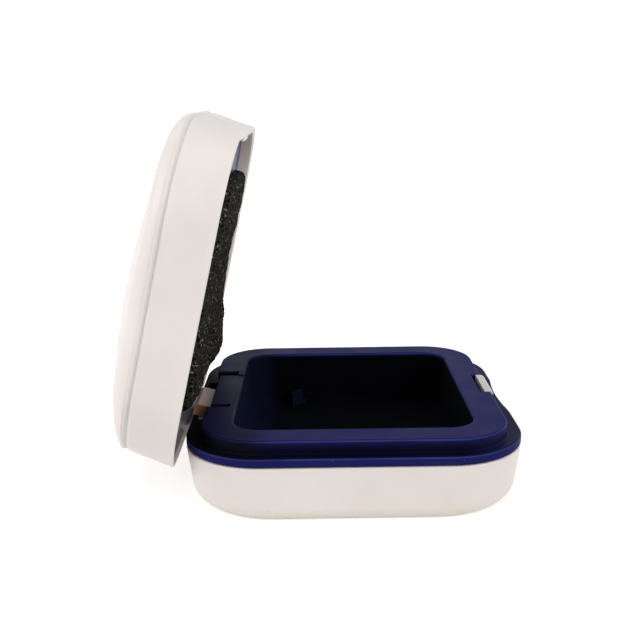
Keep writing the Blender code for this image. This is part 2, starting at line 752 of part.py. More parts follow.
def build_foam_pad():
    """Foam cushion with a crown towards the hinge and soft edges."""
    middle_x = (PAD_LEFT_X + PAD_RIGHT_X) / 2
    half_x = (PAD_RIGHT_X - PAD_LEFT_X) / 2
    back_n = LINER_N - GAP
    rings = [pad_ring(back_n, 0, 0, middle_x, half_x)]
    rings += [
        pad_ring(back_n, 1 - side / 2, PAD_EDGE_R * up, middle_x, half_x) for side, up in round_steps()
    ]
    rings += [
        pad_ring(back_n, 1, PAD_EDGE_R + share * (half_x - PAD_EDGE_R), middle_x, half_x)
        for share in PAD_TOP_SHARES
    ]
    pad = loft("foam_pad", rings)
    paint(pad, FOAM_GREY, 0.95)
    return pad


def build_latch_button():
    """Sliding latch: hook plate, press face and the post that centres its spring."""
    front_x = PLATE_X + PLATE_THICK
    hook = [
        (PLATE_X, from_flange(-PLATE_DROP)),
        (front_x, from_flange(-PLATE_DROP)),
        (front_x, from_flange(NOSE_LOW)),
        (NOSE_X, from_flange(NOSE_LOW)),
        (NOSE_X, from_flange(NOSE_TIP)),
        (front_x, from_flange(HOOK_RISE)),
        (PLATE_X, from_flange(HOOK_RISE)),
    ]
    button = side_plate("latch_button", hook, PLATE_HALF_Y, PARTS)
    soften(button, LATCH_EDGE)
    press = box(
        "press_face",
        (front_x - OVERRUN, -PRESS_HALF_Y, from_flange(-PRESS_LOW_DROP)),
        (CASE_HALF_X, PRESS_HALF_Y, from_flange(-PRESS_TOP_DROP)),
    )
    soften(press, PRESS_EDGE_R)
    spring_z = from_flange(-SPRING_DROP)
    post_foot = (PLATE_X + GAP, 0, spring_z)
    post_tip = (PLATE_X - POST_LONG, 0, spring_z)
    post = rod("spring_post", POST_R, post_foot, post_tip, POST_SIDES)
    join(button, press, post)
    paint(button, LATCH_IVORY, 0.4)


def build_latch_spring():
    """Coil spring between the cavity wall and the latch plate."""
    z = from_flange(-SPRING_DROP)
    fall = (RIM_H + SPRING_DROP) / (RIM_H + CAVITY_FLOOR_DROP)
    wall_x = MOUTH_HALF_X - CAVITY_DRAFT * fall + CAVITY_WALL
    start_x = wall_x + GAP + SPRING_WIRE_R
    long = PLATE_X - GAP - SPRING_WIRE_R - start_x
    count = int(SPRING_TURNS * SPRING_STEPS)
    curve = bpy.data.curves.new("latch_spring", "CURVE")
    curve.dimensions = "3D"
    curve.bevel_depth = SPRING_WIRE_R
    curve.bevel_resolution = 2
    curve.use_fill_caps = True
    wire = curve.splines.new("POLY")
    wire.points.add(count)
    for index, point in enumerate(wire.points):
        angle = index / SPRING_STEPS * 2 * math.pi
        y = SPRING_COIL_R * math.cos(angle)
        point.co = (start_x + long * index / count, y, z + SPRING_COIL_R * math.sin(angle), 1)
    spring = link(curve, "latch_spring", PARTS)
    paint(spring, STEEL, 0.25, 1.0)


def build_lid():
    """All lid pieces, modelled closed and carried open by an empty on the hinge axis."""
    hinge = bpy.data.objects.new("lid_hinge", None)
    PARTS.objects.link(hinge)
    pieces = [build_lid_frame(), build_lid_cap(), build_lid_liner(), build_foam_pad()]
    axis = Vector((HINGE_X, 0, HINGE_Z))
    tools = [change.object for piece in pieces for change in piece.modifiers if change.type == "BOOLEAN"]
    for obj in pieces + tools:
        obj.parent = hinge
        obj.matrix_parent_inverse = Matrix.Translation(-axis)
    hinge.location = axis
    hinge.rotation_euler.y = -OPEN_ANGLE


build_base_shell()
build_tray()
build_hinge_pin()
build_latch_button()
build_latch_spring()
build_lid()
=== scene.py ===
import math

import bmesh
import bpy
from mathutils import Matrix, Vector, noise


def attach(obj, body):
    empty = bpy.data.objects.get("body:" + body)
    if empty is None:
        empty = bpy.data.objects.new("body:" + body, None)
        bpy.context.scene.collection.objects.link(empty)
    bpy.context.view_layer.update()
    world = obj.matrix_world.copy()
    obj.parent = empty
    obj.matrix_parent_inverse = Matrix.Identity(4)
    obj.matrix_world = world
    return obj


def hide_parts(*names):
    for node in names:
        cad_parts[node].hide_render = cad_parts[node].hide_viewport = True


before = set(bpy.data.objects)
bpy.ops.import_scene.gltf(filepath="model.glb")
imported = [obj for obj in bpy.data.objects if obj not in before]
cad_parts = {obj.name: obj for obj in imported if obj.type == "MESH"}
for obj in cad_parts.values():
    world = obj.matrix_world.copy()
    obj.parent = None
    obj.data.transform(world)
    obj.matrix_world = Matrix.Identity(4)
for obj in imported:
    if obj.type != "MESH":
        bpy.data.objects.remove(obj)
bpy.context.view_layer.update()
mm = 0.001


# Camera: a little above the open case, square to the side that shows the lid's edge and the tray,
# about as far away as a hand-held camera stands from a small thing on a table.
camera_place = Vector((-6.97, -185.11, 75.24)) * mm
camera_pitch = math.radians(13.80)
camera_yaw = math.radians(0.314)
camera_roll = math.radians(-0.708)
camera_data = bpy.data.cameras.new("photo_camera")
camera_data.sensor_width = 36.0
camera_data.lens = 51.606
camera_data.clip_start = 10 * mm
camera_data.clip_end = 20.0
camera = bpy.data.objects.new("photo_camera", camera_data)
bpy.context.scene.collection.objects.link(camera)
camera.matrix_world = (
    Matrix.Translation(camera_place)
    @ Matrix.Rotation(-camera_yaw, 4, "Z")
    @ Matrix.Rotation(math.pi / 2 - camera_pitch, 4, "X")
    @ Matrix.Rotation(camera_roll, 4, "Z")
)
bpy.context.scene.camera = camera
bpy.context.scene.view_settings.view_transform = "Standard"


# Base shell: the white lower half of the case, an injection-moulded ABS tub with a generous foot round.
# It has a window for the hinge arm, one for the press face of the latch, and a shallow thumb scoop above
# that. The tray snaps into its top edge and leaves a hairline joint.
case_half_x = 32.0 * mm
case_half_y = 33.25 * mm
case_corner = 14.7 * mm
flange_top = 12.8 * mm
fit_gap = 0.3 * mm
joint_gap = 0.15 * mm
band_height = 1.75 * mm
shell_top = flange_top - band_height - joint_gap
shell_wall = 1.6 * mm
shell_draft = 0.9 * mm
shell_corner_gain = 1.5 * mm
foot_rise = 3.2 * mm
foot_in = 2.4 * mm
shell_floor_round = 2.0 * mm
shell_lip_round = 0.35 * mm
corner_segments = 18
smooth_angle = math.radians(32)
seam_reach = 0.002 * mm
scoop_depth = 0.7 * mm
scoop_reach = 10.0 * mm
scoop_drop = 9.0 * mm
scoop_middle_y = 0.6 * mm


def srgb(code):
    """Linear colour, with alpha, of an sRGB hex code."""
    parts = [int(code[at:at + 2], 16) / 255 for at in (1, 3, 5)]
    return (*[part / 12.92 if part <= 0.04045 else ((part + 0.055) / 1.055) ** 2.4 for part in parts], 1.0)


def add_node(tree, kind, settings=None, feeds=None):
    """A shader node with its settings, and the outputs that feed it."""
    made = tree.nodes.new(kind)
    for name, value in (settings or {}).items():
        if isinstance(name, int) or name in made.inputs:
            made.inputs[name].default_value = value
        else:
            setattr(made, name, value)
    for name, source in (feeds or {}).items():
        tree.links.new(source, made.inputs[name])
    return made


def start_finish(name):
    """A new material: its tree, its Principled shader and the object coordinates that patterns read."""
    finish = bpy.data.materials.new(name)
    finish.use_nodes = True
    tree = finish.node_tree
    place = add_node(tree, "ShaderNodeTexCoord").outputs["Object"]
    return finish, tree, tree.nodes["Principled BSDF"], place


def quarter(steps):
    """Sideways and upward shares of a quarter round, from its flat end to its upright end."""
    turns = [step / steps * math.pi / 2 for step in range(steps + 1)]
    return [(1 - math.sin(turn), 1 - math.cos(turn)) for turn in turns]


def outline(form, half_x, half_y, corner, z, middle_x=0.0, cuts=0):
    """Loop of edges round a rectangle whose four corners are beveled to arcs."""
    before = set(form.edges)
    walls = set(form.faces)
    spots = [
        form.verts.new((middle_x + side_x * half_x, side_y * half_y, z))
        for side_x, side_y in ((-1, -1), (1, -1), (1, 1), (-1, 1))
    ]
    form.faces.new(spots)
    bmesh.ops.bevel(
        form, geom=spots, offset=corner, offset_type="OFFSET", affect="VERTICES",
        segments=corner_segments, profile=0.5, material=-1,
    )
    bmesh.ops.delete(form, geom=[face for face in form.faces if face not in walls], context="FACES_ONLY")
    loop = [edge for edge in form.edges if edge not in before]
    if cuts:
        sides = sorted(loop, key=lambda edge: edge.calc_length())[-4:]
        bmesh.ops.subdivide_edges(form, edges=sides, cuts=cuts)
        loop = [edge for edge in form.edges if edge not in before]
    return loop


def skin(form, loops, shut=False):
    """Walls between each loop and the next, with both ends capped, or joined to each other if shut.

    A loop that lies level with the one before is held a millimetre clear of it while the two are bridged,
    because the bridge tells which way round they run by the step between them.
    """
    pairs = list(zip(loops, loops[1:]))
    if shut:
        pairs.append((loops[-1], loops[0]))
    for low, high in pairs:
        spots = list({spot for edge in high for spot in edge.verts})
        step = max(spot.co.z for spot in spots) - max(edge.verts[0].co.z for edge in low)
        level = abs(step) < 0.02 * mm
        if level:
            bmesh.ops.translate(form, vec=(0, 0, mm), verts=spots)
        bmesh.ops.bridge_loops(form, edges=low + high)
        if level:
            bmesh.ops.translate(form, vec=(0, 0, -mm), verts=spots)
    if not shut:
        for end in (loops[0], loops[-1]):
            bmesh.ops.edgeloop_fill(form, edges=end)


def settle(form, name):
    """The finished mesh as an object: seams merged, faces outward, shaded smooth up to its real edges."""
    bmesh.ops.remove_doubles(form, verts=form.verts, dist=seam_reach)
    bmesh.ops.recalc_face_normals(form, faces=form.faces)
    mesh = bpy.data.meshes.new(name)
    form.to_mesh(mesh)
    form.free()
    mesh.shade_smooth()
    mesh.set_sharp_from_angle(angle=smooth_angle)
    piece = bpy.data.objects.new(name, mesh)
    bpy.context.scene.collection.objects.link(piece)
    return piece


def apply_changes(piece):
    """Bakes the piece's modifiers into its mesh."""
    bpy.context.view_layer.update()
    shaped = piece.evaluated_get(bpy.context.evaluated_depsgraph_get())
    mesh = bpy.data.meshes.new_from_object(shaped)
    piece.modifiers.clear()
    piece.data = mesh


def work(piece, tools, operation="DIFFERENCE"):
    """Cuts tools out of a piece, or grows them onto it, and removes the tools."""
    for tool in tools:
        change = piece.modifiers.new(tool.name, "BOOLEAN")
        change.operation = operation
        change.solver = "EXACT"
        change.object = tool
    apply_changes(piece)
    piece.data.set_sharp_from_angle(angle=smooth_angle)
    for tool in tools:
        bpy.data.objects.remove(tool, do_unlink=True)


def block(name, low, high, edge=0.0, steps=3):
    """Block between two opposite corners in millimetres, its edges rounded."""
    low = Vector(low) * mm
    high = Vector(high) * mm
    form = bmesh.new()
    bmesh.ops.create_cube(form, size=1.0)
    bmesh.ops.scale(form, vec=high - low, verts=form.verts)
    bmesh.ops.translate(form, vec=(low + high) / 2, verts=form.verts)
    if edge:
        bmesh.ops.bevel(
            form, geom=form.edges[:], offset=edge * mm, affect="EDGES",
            segments=steps, profile=0.5, material=-1,
        )
    return settle(form, name)


def base_outline(form, z, inset):
    """Outline of the drafted base wall at a height over the table, moved in by inset."""
    fall = 1 - z / shell_top
    corner = case_corner + shell_corner_gain * fall - inset
    half_x = case_half_x - shell_draft * fall - inset
    half_y = case_half_y - shell_draft * fall - inset
    return outline(form, half_x, half_y, corner, z)


def thumb_scoop(name):
    """Wide leaning drum that leaves the thumb scoop: deepest at the flange, gone a drop below it."""
    radius = (scoop_reach**2 + scoop_depth**2) / (2 * scoop_depth)
    lean = Matrix.Rotation(-math.atan(scoop_depth / scoop_drop), 3, "Y")
    middle = (case_half_x - scoop_depth + radius, scoop_middle_y, flange_top)
    form = bmesh.new()
    bmesh.ops.create_cone(
        form, cap_ends=True, segments=720, radius1=radius, radius2=radius, depth=2 * scoop_drop
    )
    bmesh.ops.rotate(form, matrix=lean, verts=form.verts)
    bmesh.ops.translate(form, vec=middle, verts=form.verts)
    return settle(form, name)


form = bmesh.new()
wall = [base_outline(form, up * foot_rise, side * foot_in) for side, up in quarter(10)]
wall += [
    base_outline(form, shell_top - shell_lip_round * side, shell_lip_round * up) for side, up in quarter(4)
]
wall.append(base_outline(form, shell_top, shell_wall))
wall += [
    base_outline(form, shell_wall + up * shell_floor_round, shell_wall + side * shell_floor_round)
    for side, up in quarter(5)[::-1]
]
skin(form, wall)
base_shell = settle(form, "base_shell_moulding")
seat = [
    block("latch_seat", (26.2, -6.4, 1.3), (30.7, 6.4, 4.0)),
    block("latch_guide_near", (25.5, -8.0, 1.3), (30.7, -6.4, 9.0)),
    block("latch_guide_far", (25.5, 6.4, 1.3), (30.7, 8.0, 9.0)),
    block("latch_stop_near", (29.15, -8.0, 1.3), (30.7, -5.7, 9.0)),
    block("latch_stop_far", (29.15, 5.7, 1.3), (30.7, 8.0, 9.0)),
]
work(base_shell, seat, "UNION")
openings = [
    block("press_window", (29.6, -5.7, 4.5), (33.0, 5.7, 9.7), 0.35),
    block("hinge_window", (-33.0, -6.1, 5.8), (-29.0, 6.1, 14.0)),
    block("hinge_relief", (-31.2, -8.2, 4.3), (-29.0, 8.2, 14.0)),
    thumb_scoop("shell_scoop"),
]
work(base_shell, openings)

# Injection-moulded ABS in a warm white, from a finely spark-eroded mould: satin and a little see-through,
# with a faint grain of 0.2 mm drawn at 0.35 mm so that it shows, cloudy flow marks, a few specks of dust,
# and a yellower, darker tint towards the foot.
white_abs, tree, shader, place = start_finish("moulded_white_abs")
cloud = add_node(tree, "ShaderNodeTexNoise", {"Scale": 70.0, "Detail": 3.0}, {"Vector": place})
grain = add_node(tree, "ShaderNodeTexNoise", {"Scale": 2800.0, "Detail": 2.0}, {"Vector": place})
smudge = add_node(tree, "ShaderNodeTexNoise", {"Scale": 230.0, "Detail": 5.0}, {"Vector": place})
speck = add_node(tree, "ShaderNodeTexVoronoi", {"Scale": 260.0}, {"Vector": place})
height = add_node(tree, "ShaderNodeSeparateXYZ", None, {"Vector": place})
low_band = add_node(
    tree, "ShaderNodeMapRange",
    {"From Min": 0.0, "From Max": 4.0 * mm, "To Min": 0.5, "To Max": 0.0, "interpolation_type": "SMOOTHSTEP"},
    {"Value": height.outputs["Z"]},
)
clear = add_node(
    tree, "ShaderNodeMix", {"data_type": "RGBA", 6: srgb("#EFEAE6"), 7: srgb("#E4DAD5")},
    {0: cloud.outputs["Fac"]},
)
foot_tinted = add_node(
    tree, "ShaderNodeMix", {"data_type": "RGBA", 7: srgb("#E2D9C4")},
    {0: low_band.outputs["Result"], 6: clear.outputs[2]},
)
dust = add_node(
    tree, "ShaderNodeMapRange", {"From Min": 0.030, "From Max": 0.055, "To Min": 0.35, "To Max": 0.0},
    {"Value": speck.outputs["Distance"]},
)
marked = add_node(
    tree, "ShaderNodeMix", {"data_type": "RGBA", 7: srgb("#B9AEA4")},
    {0: dust.outputs["Result"], 6: foot_tinted.outputs[2]},
)
gloss = add_node(
    tree, "ShaderNodeMapRange", {"From Min": 0.3, "From Max": 0.7, "To Min": 0.34, "To Max": 0.48},
    {"Value": smudge.outputs["Fac"]},
)
relief = add_node(
    tree, "ShaderNodeBump", {"Strength": 0.12, "Distance": 0.02 * mm}, {"Height": grain.outputs["Fac"]}
)
tree.links.new(marked.outputs[2], shader.inputs["Base Color"])
tree.links.new(gloss.outputs["Result"], shader.inputs["Roughness"])
tree.links.new(relief.outputs["Normal"], shader.inputs["Normal"])
shader.inputs["IOR"].default_value = 1.5
shader.inputs["Subsurface Weight"].default_value = 0.5
shader.inputs["Subsurface Radius"].default_value = (1.0, 0.82, 0.74)
shader.inputs["Subsurface Scale"].default_value = 1.5 * mm


def dress(piece, finish, node_name, body):
    """Gives a piece its finish and its even shading, and lets it stand for a CAD node on a body."""
    piece.data.materials.clear()
    piece.data.materials.append(finish)
    even = piece.modifiers.new("even_shading", "WEIGHTED_NORMAL")
    even.keep_sharp = True
    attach(piece, body)
    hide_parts(node_name)


dress(base_shell, white_abs, "base_shell", "base")


# Insert tray: one navy ABS moulding that drops into the shell. Its band shows as a blue line round the
# case, its raised rim locates the lid, and its deep cavity holds the hearing aids. The hinge side is cut
# free as a springy leaf tongue over two cheeks that hold the pin, and the latch side is notched.
rim_half_x = case_half_x - 3.05 * mm
rim_half_y = case_half_y - 2.0 * mm
rim_corner = 10.85 * mm
rim_height = 2.6 * mm
rim_round = 0.45 * mm
rim_foot_round = 0.35 * mm
rim_wall = 1.3 * mm
flange_thick = 1.2 * mm
flange_round = 0.45 * mm
mouth_half_x = case_half_x - 9.2 * mm
mouth_half_y = case_half_y - 8.15 * mm
mouth_corner = 5.4 * mm
mouth_round = 0.5 * mm
cavity_draft = 0.7 * mm
cavity_wall = 1.2 * mm
cavity_drop = 9.6 * mm
cavity_floor_round = 2.0 * mm
lip_drop = 3.4 * mm
lip_thick = 1.1 * mm
band_low_round = 0.3 * mm
hinge_axis = Vector((-29.0, 0, 8.48)) * mm
pin_radius = 0.8 * mm
pin_length = 14.2 * mm
pin_seat = 0.03 * mm
stop_turn = math.radians(51)
stop_place = Vector((-11.7, 23.3, 0)) * mm


def cavity_outline(form, z, grow):
    """Outline of the drafted cavity at a height from the flange top, moved out by grow."""
    fall = (rim_height - z) / (rim_height + cavity_drop)
    half_x = mouth_half_x - cavity_draft * fall + grow
    half_y = mouth_half_y - cavity_draft * fall + grow
    return outline(form, half_x, half_y, mouth_corner + grow, flange_top + z)


def rim_outline(form, z, inset):
    """Outline of the raised rim at a height from the flange top, moved in by inset."""
    return outline(form, rim_half_x - inset, rim_half_y - inset, rim_corner - inset, flange_top + z)


def flange_outline(form, z, inset):
    """Outline of the flange at a height from the flange top, moved in by inset."""
    return outline(form, case_half_x - inset, case_half_y - inset, case_corner - inset, flange_top + z)


form = bmesh.new()
under_round = cavity_floor_round + cavity_wall
lip_out = shell_wall + fit_gap
section = [
    cavity_outline(form, -cavity_drop - cavity_wall + up * under_round, cavity_wall - side * under_round)
    for side, up in quarter(4)
]
section += [
    cavity_outline(form, rim_height - rim_wall, cavity_wall),
    rim_outline(form, rim_height - rim_wall, rim_wall),
    rim_outline(form, -flange_thick, rim_wall),
    flange_outline(form, -flange_thick, lip_out + lip_thick),
    base_outline(form, flange_top - lip_drop, lip_out + lip_thick),
    base_outline(form, flange_top - lip_drop, lip_out),
    base_outline(form, flange_top - band_height, lip_out),
]
section += [
    flange_outline(form, band_low_round * up - band_height, band_low_round * side) for side, up in quarter(4)
]
section += [flange_outline(form, -flange_round * side, flange_round * up) for side, up in quarter(6)]
section += [
    rim_outline(form, rim_foot_round * side, -rim_foot_round * up) for side, up in quarter(4)[::-1]
]
section += [rim_outline(form, rim_height - rim_round * side, rim_round * up) for side, up in quarter(6)]
section += [
    cavity_outline(form, rim_height - mouth_round * up, mouth_round * side) for side, up in quarter(6)
]
section += [
    cavity_outline(form, cavity_floor_round * up - cavity_drop, -cavity_floor_round * side)
    for side, up in quarter(6)[::-1]
]
skin(form, section)
tray = settle(form, "tray_moulding")


def rod(place, turn, length, radius, end_radius=None, sides=32, chamfer=0.0):
    """Round rod with its middle at a place, laid over from upright, its ends chamfered."""
    form = bmesh.new()
    bmesh.ops.create_cone(
        form, cap_ends=True, segments=sides, radius1=radius, radius2=end_radius or radius, depth=length
    )
    if chamfer:
        ends = [edge for edge in form.edges if edge.calc_length() < length / 2]
        bmesh.ops.bevel(
            form, geom=ends, offset=chamfer, affect="EDGES", segments=2, profile=0.5, material=-1
        )
    bmesh.ops.rotate(form, matrix=turn, verts=form.verts)
    bmesh.ops.translate(form, vec=place, verts=form.verts)
    return form


lay_along_y = Matrix.Rotation(math.pi / 2, 3, "X")
cheeks = [
    block("near_cheek", (-30.9, -7.8, 6.08), (-23.4, -6.0, 10.58), 0.25),
    block("far_cheek", (-30.9, 6.0, 6.08), (-23.4, 7.8, 10.58), 0.25),
]
cuts = [
    block("hinge_opening", (-33.0, -9.0, 8.8), (-27.0, 9.2, 14.45)),
    block("hinge_pocket", (-30.9, -12.0, 8.8), (-24.1, 12.0, 14.45)),
    block("tongue_front", (-33.0, -12.0, 12.8), (-28.2, 12.0, 17.0)),
    block("tongue_dip", (-29.0, -9.8, 15.15), (-21.8, 9.6, 17.0)),
    block("near_slot", (-33.0, -12.0, 12.8), (-24.2, -9.8, 17.0)),
    block("far_slot", (-33.0, 9.6, 12.8), (-24.2, 12.0, 17.0)),
]
work(tray, cuts)
work(tray, cheeks, "UNION")
cuts = [
    settle(rod(hinge_axis, lay_along_y, pin_length + 2 * pin_seat, pin_radius + pin_seat), "cheek_bore"),
    block("latch_notch", (26.75, -4.9, 10.3), (29.8, 7.0, 17.0)),
    block("lip_cut", (26.5, -8.4, 8.8), (30.3, 8.4, 11.6)),
    thumb_scoop("tray_scoop"),
]
work(tray, cuts)


def plate(form, corners, low_y, high_y, middle=(0.0, 0.0)):
    """Plate across Y, cut to corners given in millimetres as x, z and the radius of each."""
    places = [Vector((middle[0] + x, low_y, middle[1] + z)) * mm for x, z, _ in corners]
    spots = [form.verts.new(place) for place in places]
    face = form.faces.new(spots)
    before = set(form.faces) - {face}
    for index, (_, _, radius) in enumerate(corners):
        if radius:
            back = places[index - 1] - places[index]
            ahead = places[(index + 1) % len(places)] - places[index]
            reach = radius * mm / math.tan(back.angle(ahead) / 2)
            bmesh.ops.bevel(
                form, geom=[spots[index]], offset=reach, affect="VERTICES",
                segments=6, profile=0.5, material=-1,
            )
    face = next(item for item in form.faces if item not in before)
    grown = bmesh.ops.extrude_face_region(form, geom=[face])
    tops = [item for item in grown["geom"] if isinstance(item, bmesh.types.BMVert)]
    bmesh.ops.translate(form, vec=(0, (high_y - low_y) * mm, 0), verts=tops)
    bmesh.ops.recalc_face_normals(form, faces=form.faces)


form = bmesh.new()
plate(form, [(-2.0, 3.0, 0), (2.0, 3.0, 0), (2.0, 7.1, 0.3), (-2.0, 6.8, 0.3)], -0.5, 0.5)
bmesh.ops.bevel(
    form, geom=[edge for edge in form.edges if edge.calc_face_angle(0) > smooth_angle],
    offset=0.15 * mm, affect="EDGES", segments=2, profile=0.5, material=-1,
)
bmesh.ops.rotate(form, matrix=Matrix.Rotation(stop_turn, 3, "Z"), verts=form.verts)
bmesh.ops.translate(form, vec=stop_place, verts=form.verts)
stop_block = settle(form, "tray_stop_block")

# The same ABS dyed deep navy, cloudy and with a little lint. The flange top and the foot of the rim wall are
# painted in shade, and the cavity is painted in deep shade; its walls have a coarser spark texture.
rim_top = flange_top + rim_height
navy_abs, tree, shader, place = start_finish("moulded_navy_abs")
cloud = add_node(tree, "ShaderNodeTexNoise", {"Scale": 120.0, "Detail": 4.0}, {"Vector": place})
grain = add_node(tree, "ShaderNodeTexNoise", {"Scale": 3000.0, "Detail": 2.0}, {"Vector": place})
speck = add_node(tree, "ShaderNodeTexVoronoi", {"Scale": 420.0}, {"Vector": place})
tint = add_node(
    tree, "ShaderNodeMix", {"data_type": "RGBA", 6: srgb("#191A4E"), 7: srgb("#22235C")},
    {0: cloud.outputs["Fac"]},
)
lint = add_node(
    tree, "ShaderNodeMapRange", {"From Min": 0.030, "From Max": 0.060, "To Min": 0.55, "To Max": 0.0},
    {"Value": speck.outputs["Distance"]},
)
dusty = add_node(
    tree, "ShaderNodeMix", {"data_type": "RGBA", 7: srgb("#5A5A80")},
    {0: lint.outputs["Result"], 6: tint.outputs[2]},
)

# The cavity is all that lies within the mouth and below its edge; the stop block stands on its floor.
# The cavity is painted in deep shade from just below its edge downwards, and it is rougher.
spot = add_node(tree, "ShaderNodeSeparateXYZ", None, {"Vector": place})
across = add_node(tree, "ShaderNodeMath", {"operation": "ABSOLUTE"}, {0: spot.outputs["X"]})
along = add_node(tree, "ShaderNodeMath", {"operation": "ABSOLUTE"}, {0: spot.outputs["Y"]})
in_x = add_node(
    tree, "ShaderNodeMath", {"operation": "LESS_THAN", 1: mouth_half_x + 0.2 * mm}, {0: across.outputs[0]}
)
in_y = add_node(
    tree, "ShaderNodeMath", {"operation": "LESS_THAN", 1: mouth_half_y + 0.2 * mm}, {0: along.outputs[0]}
)
inside = add_node(tree, "ShaderNodeMath", {"operation": "MULTIPLY"}, {0: in_x.outputs[0], 1: in_y.outputs[0]})
block_x = add_node(
    tree, "ShaderNodeMath", {"operation": "COMPARE", 1: -11.6 * mm, 2: 2.1 * mm}, {0: spot.outputs["X"]}
)
block_y = add_node(
    tree, "ShaderNodeMath", {"operation": "COMPARE", 1: 22.75 * mm, 2: 1.6 * mm}, {0: spot.outputs["Y"]}
)
block_z = add_node(
    tree, "ShaderNodeMath", {"operation": "GREATER_THAN", 1: 3.5 * mm}, {0: spot.outputs["Z"]}
)
on_block = add_node(
    tree, "ShaderNodeMath", {"operation": "MULTIPLY"}, {0: block_x.outputs[0], 1: block_y.outputs[0]}
)
on_block = add_node(
    tree, "ShaderNodeMath", {"operation": "MULTIPLY"}, {0: on_block.outputs[0], 1: block_z.outputs[0]}
)
deep = add_node(
    tree, "ShaderNodeMapRange",
    {"From Min": rim_top - 0.2 * mm, "From Max": rim_top - 1.1 * mm, "interpolation_type": "SMOOTHSTEP"},
    {"Value": spot.outputs["Z"]},
)
cavity = add_node(
    tree, "ShaderNodeMath", {"operation": "MULTIPLY"}, {0: inside.outputs[0], 1: deep.outputs["Result"]}
)

# Painted shade on the flange top and the foot of the rim wall, fading out up the rim. The band has none,
# but the hinge pocket behind it is painted shaded too. The painted shade is lighter towards the latch side.
band_edge = add_node(
    tree, "ShaderNodeMapRange",
    {
        "From Min": flange_top - 0.02 * mm, "From Max": flange_top - 0.3 * mm,
        "interpolation_type": "SMOOTHSTEP",
    },
    {"Value": spot.outputs["Z"]},
)
pocket_x = add_node(
    tree, "ShaderNodeMath", {"operation": "COMPARE", 1: -26.0 * mm, 2: 5.4 * mm}, {0: spot.outputs["X"]}
)
pocket_y = add_node(
    tree, "ShaderNodeMath", {"operation": "LESS_THAN", 1: 12.6 * mm}, {0: along.outputs[0]}
)
open_side = add_node(
    tree, "ShaderNodeMath", {"operation": "MULTIPLY"}, {0: pocket_x.outputs[0], 1: pocket_y.outputs[0]}
)
open_side = add_node(tree, "ShaderNodeMath", {"operation": "SUBTRACT", 0: 1.0}, {1: open_side.outputs[0]})
band_edge = add_node(
    tree, "ShaderNodeMath", {"operation": "MULTIPLY"},
    {0: band_edge.outputs["Result"], 1: open_side.outputs[0]},
)
rim_climb = add_node(
    tree, "ShaderNodeMapRange", {"From Min": flange_top + 0.1 * mm, "From Max": rim_top - 0.1 * mm},
    {"Value": spot.outputs["Z"]},
)
rim_climb = add_node(tree, "ShaderNodeMath", {"operation": "POWER", 1: 2.6}, {0: rim_climb.outputs["Result"]})
unshaded_share = add_node(
    tree, "ShaderNodeMath", {"operation": "MAXIMUM"}, {0: band_edge.outputs[0], 1: rim_climb.outputs[0]}
)
latch_side = add_node(
    tree, "ShaderNodeMapRange",
    {"From Min": 18.0 * mm, "From Max": 28.0 * mm, "interpolation_type": "SMOOTHSTEP"},
    {"Value": spot.outputs["X"]},
)
flange_shade_tint = add_node(
    tree, "ShaderNodeMix", {"data_type": "RGBA", 6: srgb("#080920"), 7: srgb("#161738")},
    {0: latch_side.outputs["Result"]},
)
outer_tint = add_node(
    tree, "ShaderNodeMix", {"data_type": "RGBA"},
    {0: unshaded_share.outputs[0], 6: flange_shade_tint.outputs[2], 7: dusty.outputs[2]},
)

# Painted highlights: the rounded edges of rim and flange are painted paler, in patches.
rim_line = add_node(
    tree, "ShaderNodeMath", {"operation": "COMPARE", 1: rim_top - 0.23 * mm, 2: 0.13 * mm},
    {0: spot.outputs["Z"]},
)
flange_line = add_node(
    tree, "ShaderNodeMath", {"operation": "COMPARE", 1: flange_top - 0.24 * mm, 2: 0.13 * mm},
    {0: spot.outputs["Z"]},
)
edge_highlight = add_node(
    tree, "ShaderNodeMath", {"operation": "MAXIMUM"}, {0: rim_line.outputs[0], 1: flange_line.outputs[0]}
)
edge_highlight = add_node(
    tree, "ShaderNodeMath", {"operation": "MULTIPLY"}, {0: edge_highlight.outputs[0], 1: cloud.outputs["Fac"]}
)
highlighted_tint = add_node(
    tree, "ShaderNodeMix", {"data_type": "RGBA", 7: srgb("#3F4188")},
    {0: edge_highlight.outputs[0], 6: outer_tint.outputs[2]},
)

# Painted shadow of the lid: towards the hinge all but the band goes darker and greyer, the rim's top least.
by_hinge = add_node(
    tree, "ShaderNodeMapRange",
    {"From Min": -14.0 * mm, "From Max": -21.0 * mm, "interpolation_type": "SMOOTHSTEP"},
    {"Value": spot.outputs["X"]},
)
top_share = add_node(
    tree, "ShaderNodeMapRange",
    {"From Min": rim_top - 0.4 * mm, "From Max": rim_top - 0.05 * mm, "To Min": 0.92, "To Max": 0.62},
    {"Value": spot.outputs["Z"]},
)
above_band = add_node(
    tree, "ShaderNodeMath", {"operation": "SUBTRACT", 0: 1.0}, {1: band_edge.outputs[0]}
)
lid_shadow = add_node(
    tree, "ShaderNodeMath", {"operation": "MULTIPLY"},
    {0: by_hinge.outputs["Result"], 1: top_share.outputs["Result"]},
)
lid_shadow = add_node(
    tree, "ShaderNodeMath", {"operation": "MULTIPLY"}, {0: lid_shadow.outputs[0], 1: above_band.outputs[0]}
)
lid_shadow_tint = add_node(
    tree, "ShaderNodeMix", {"data_type": "RGBA", 7: srgb("#0C0D14")},
    {0: lid_shadow.outputs[0], 6: highlighted_tint.outputs[2]},
)
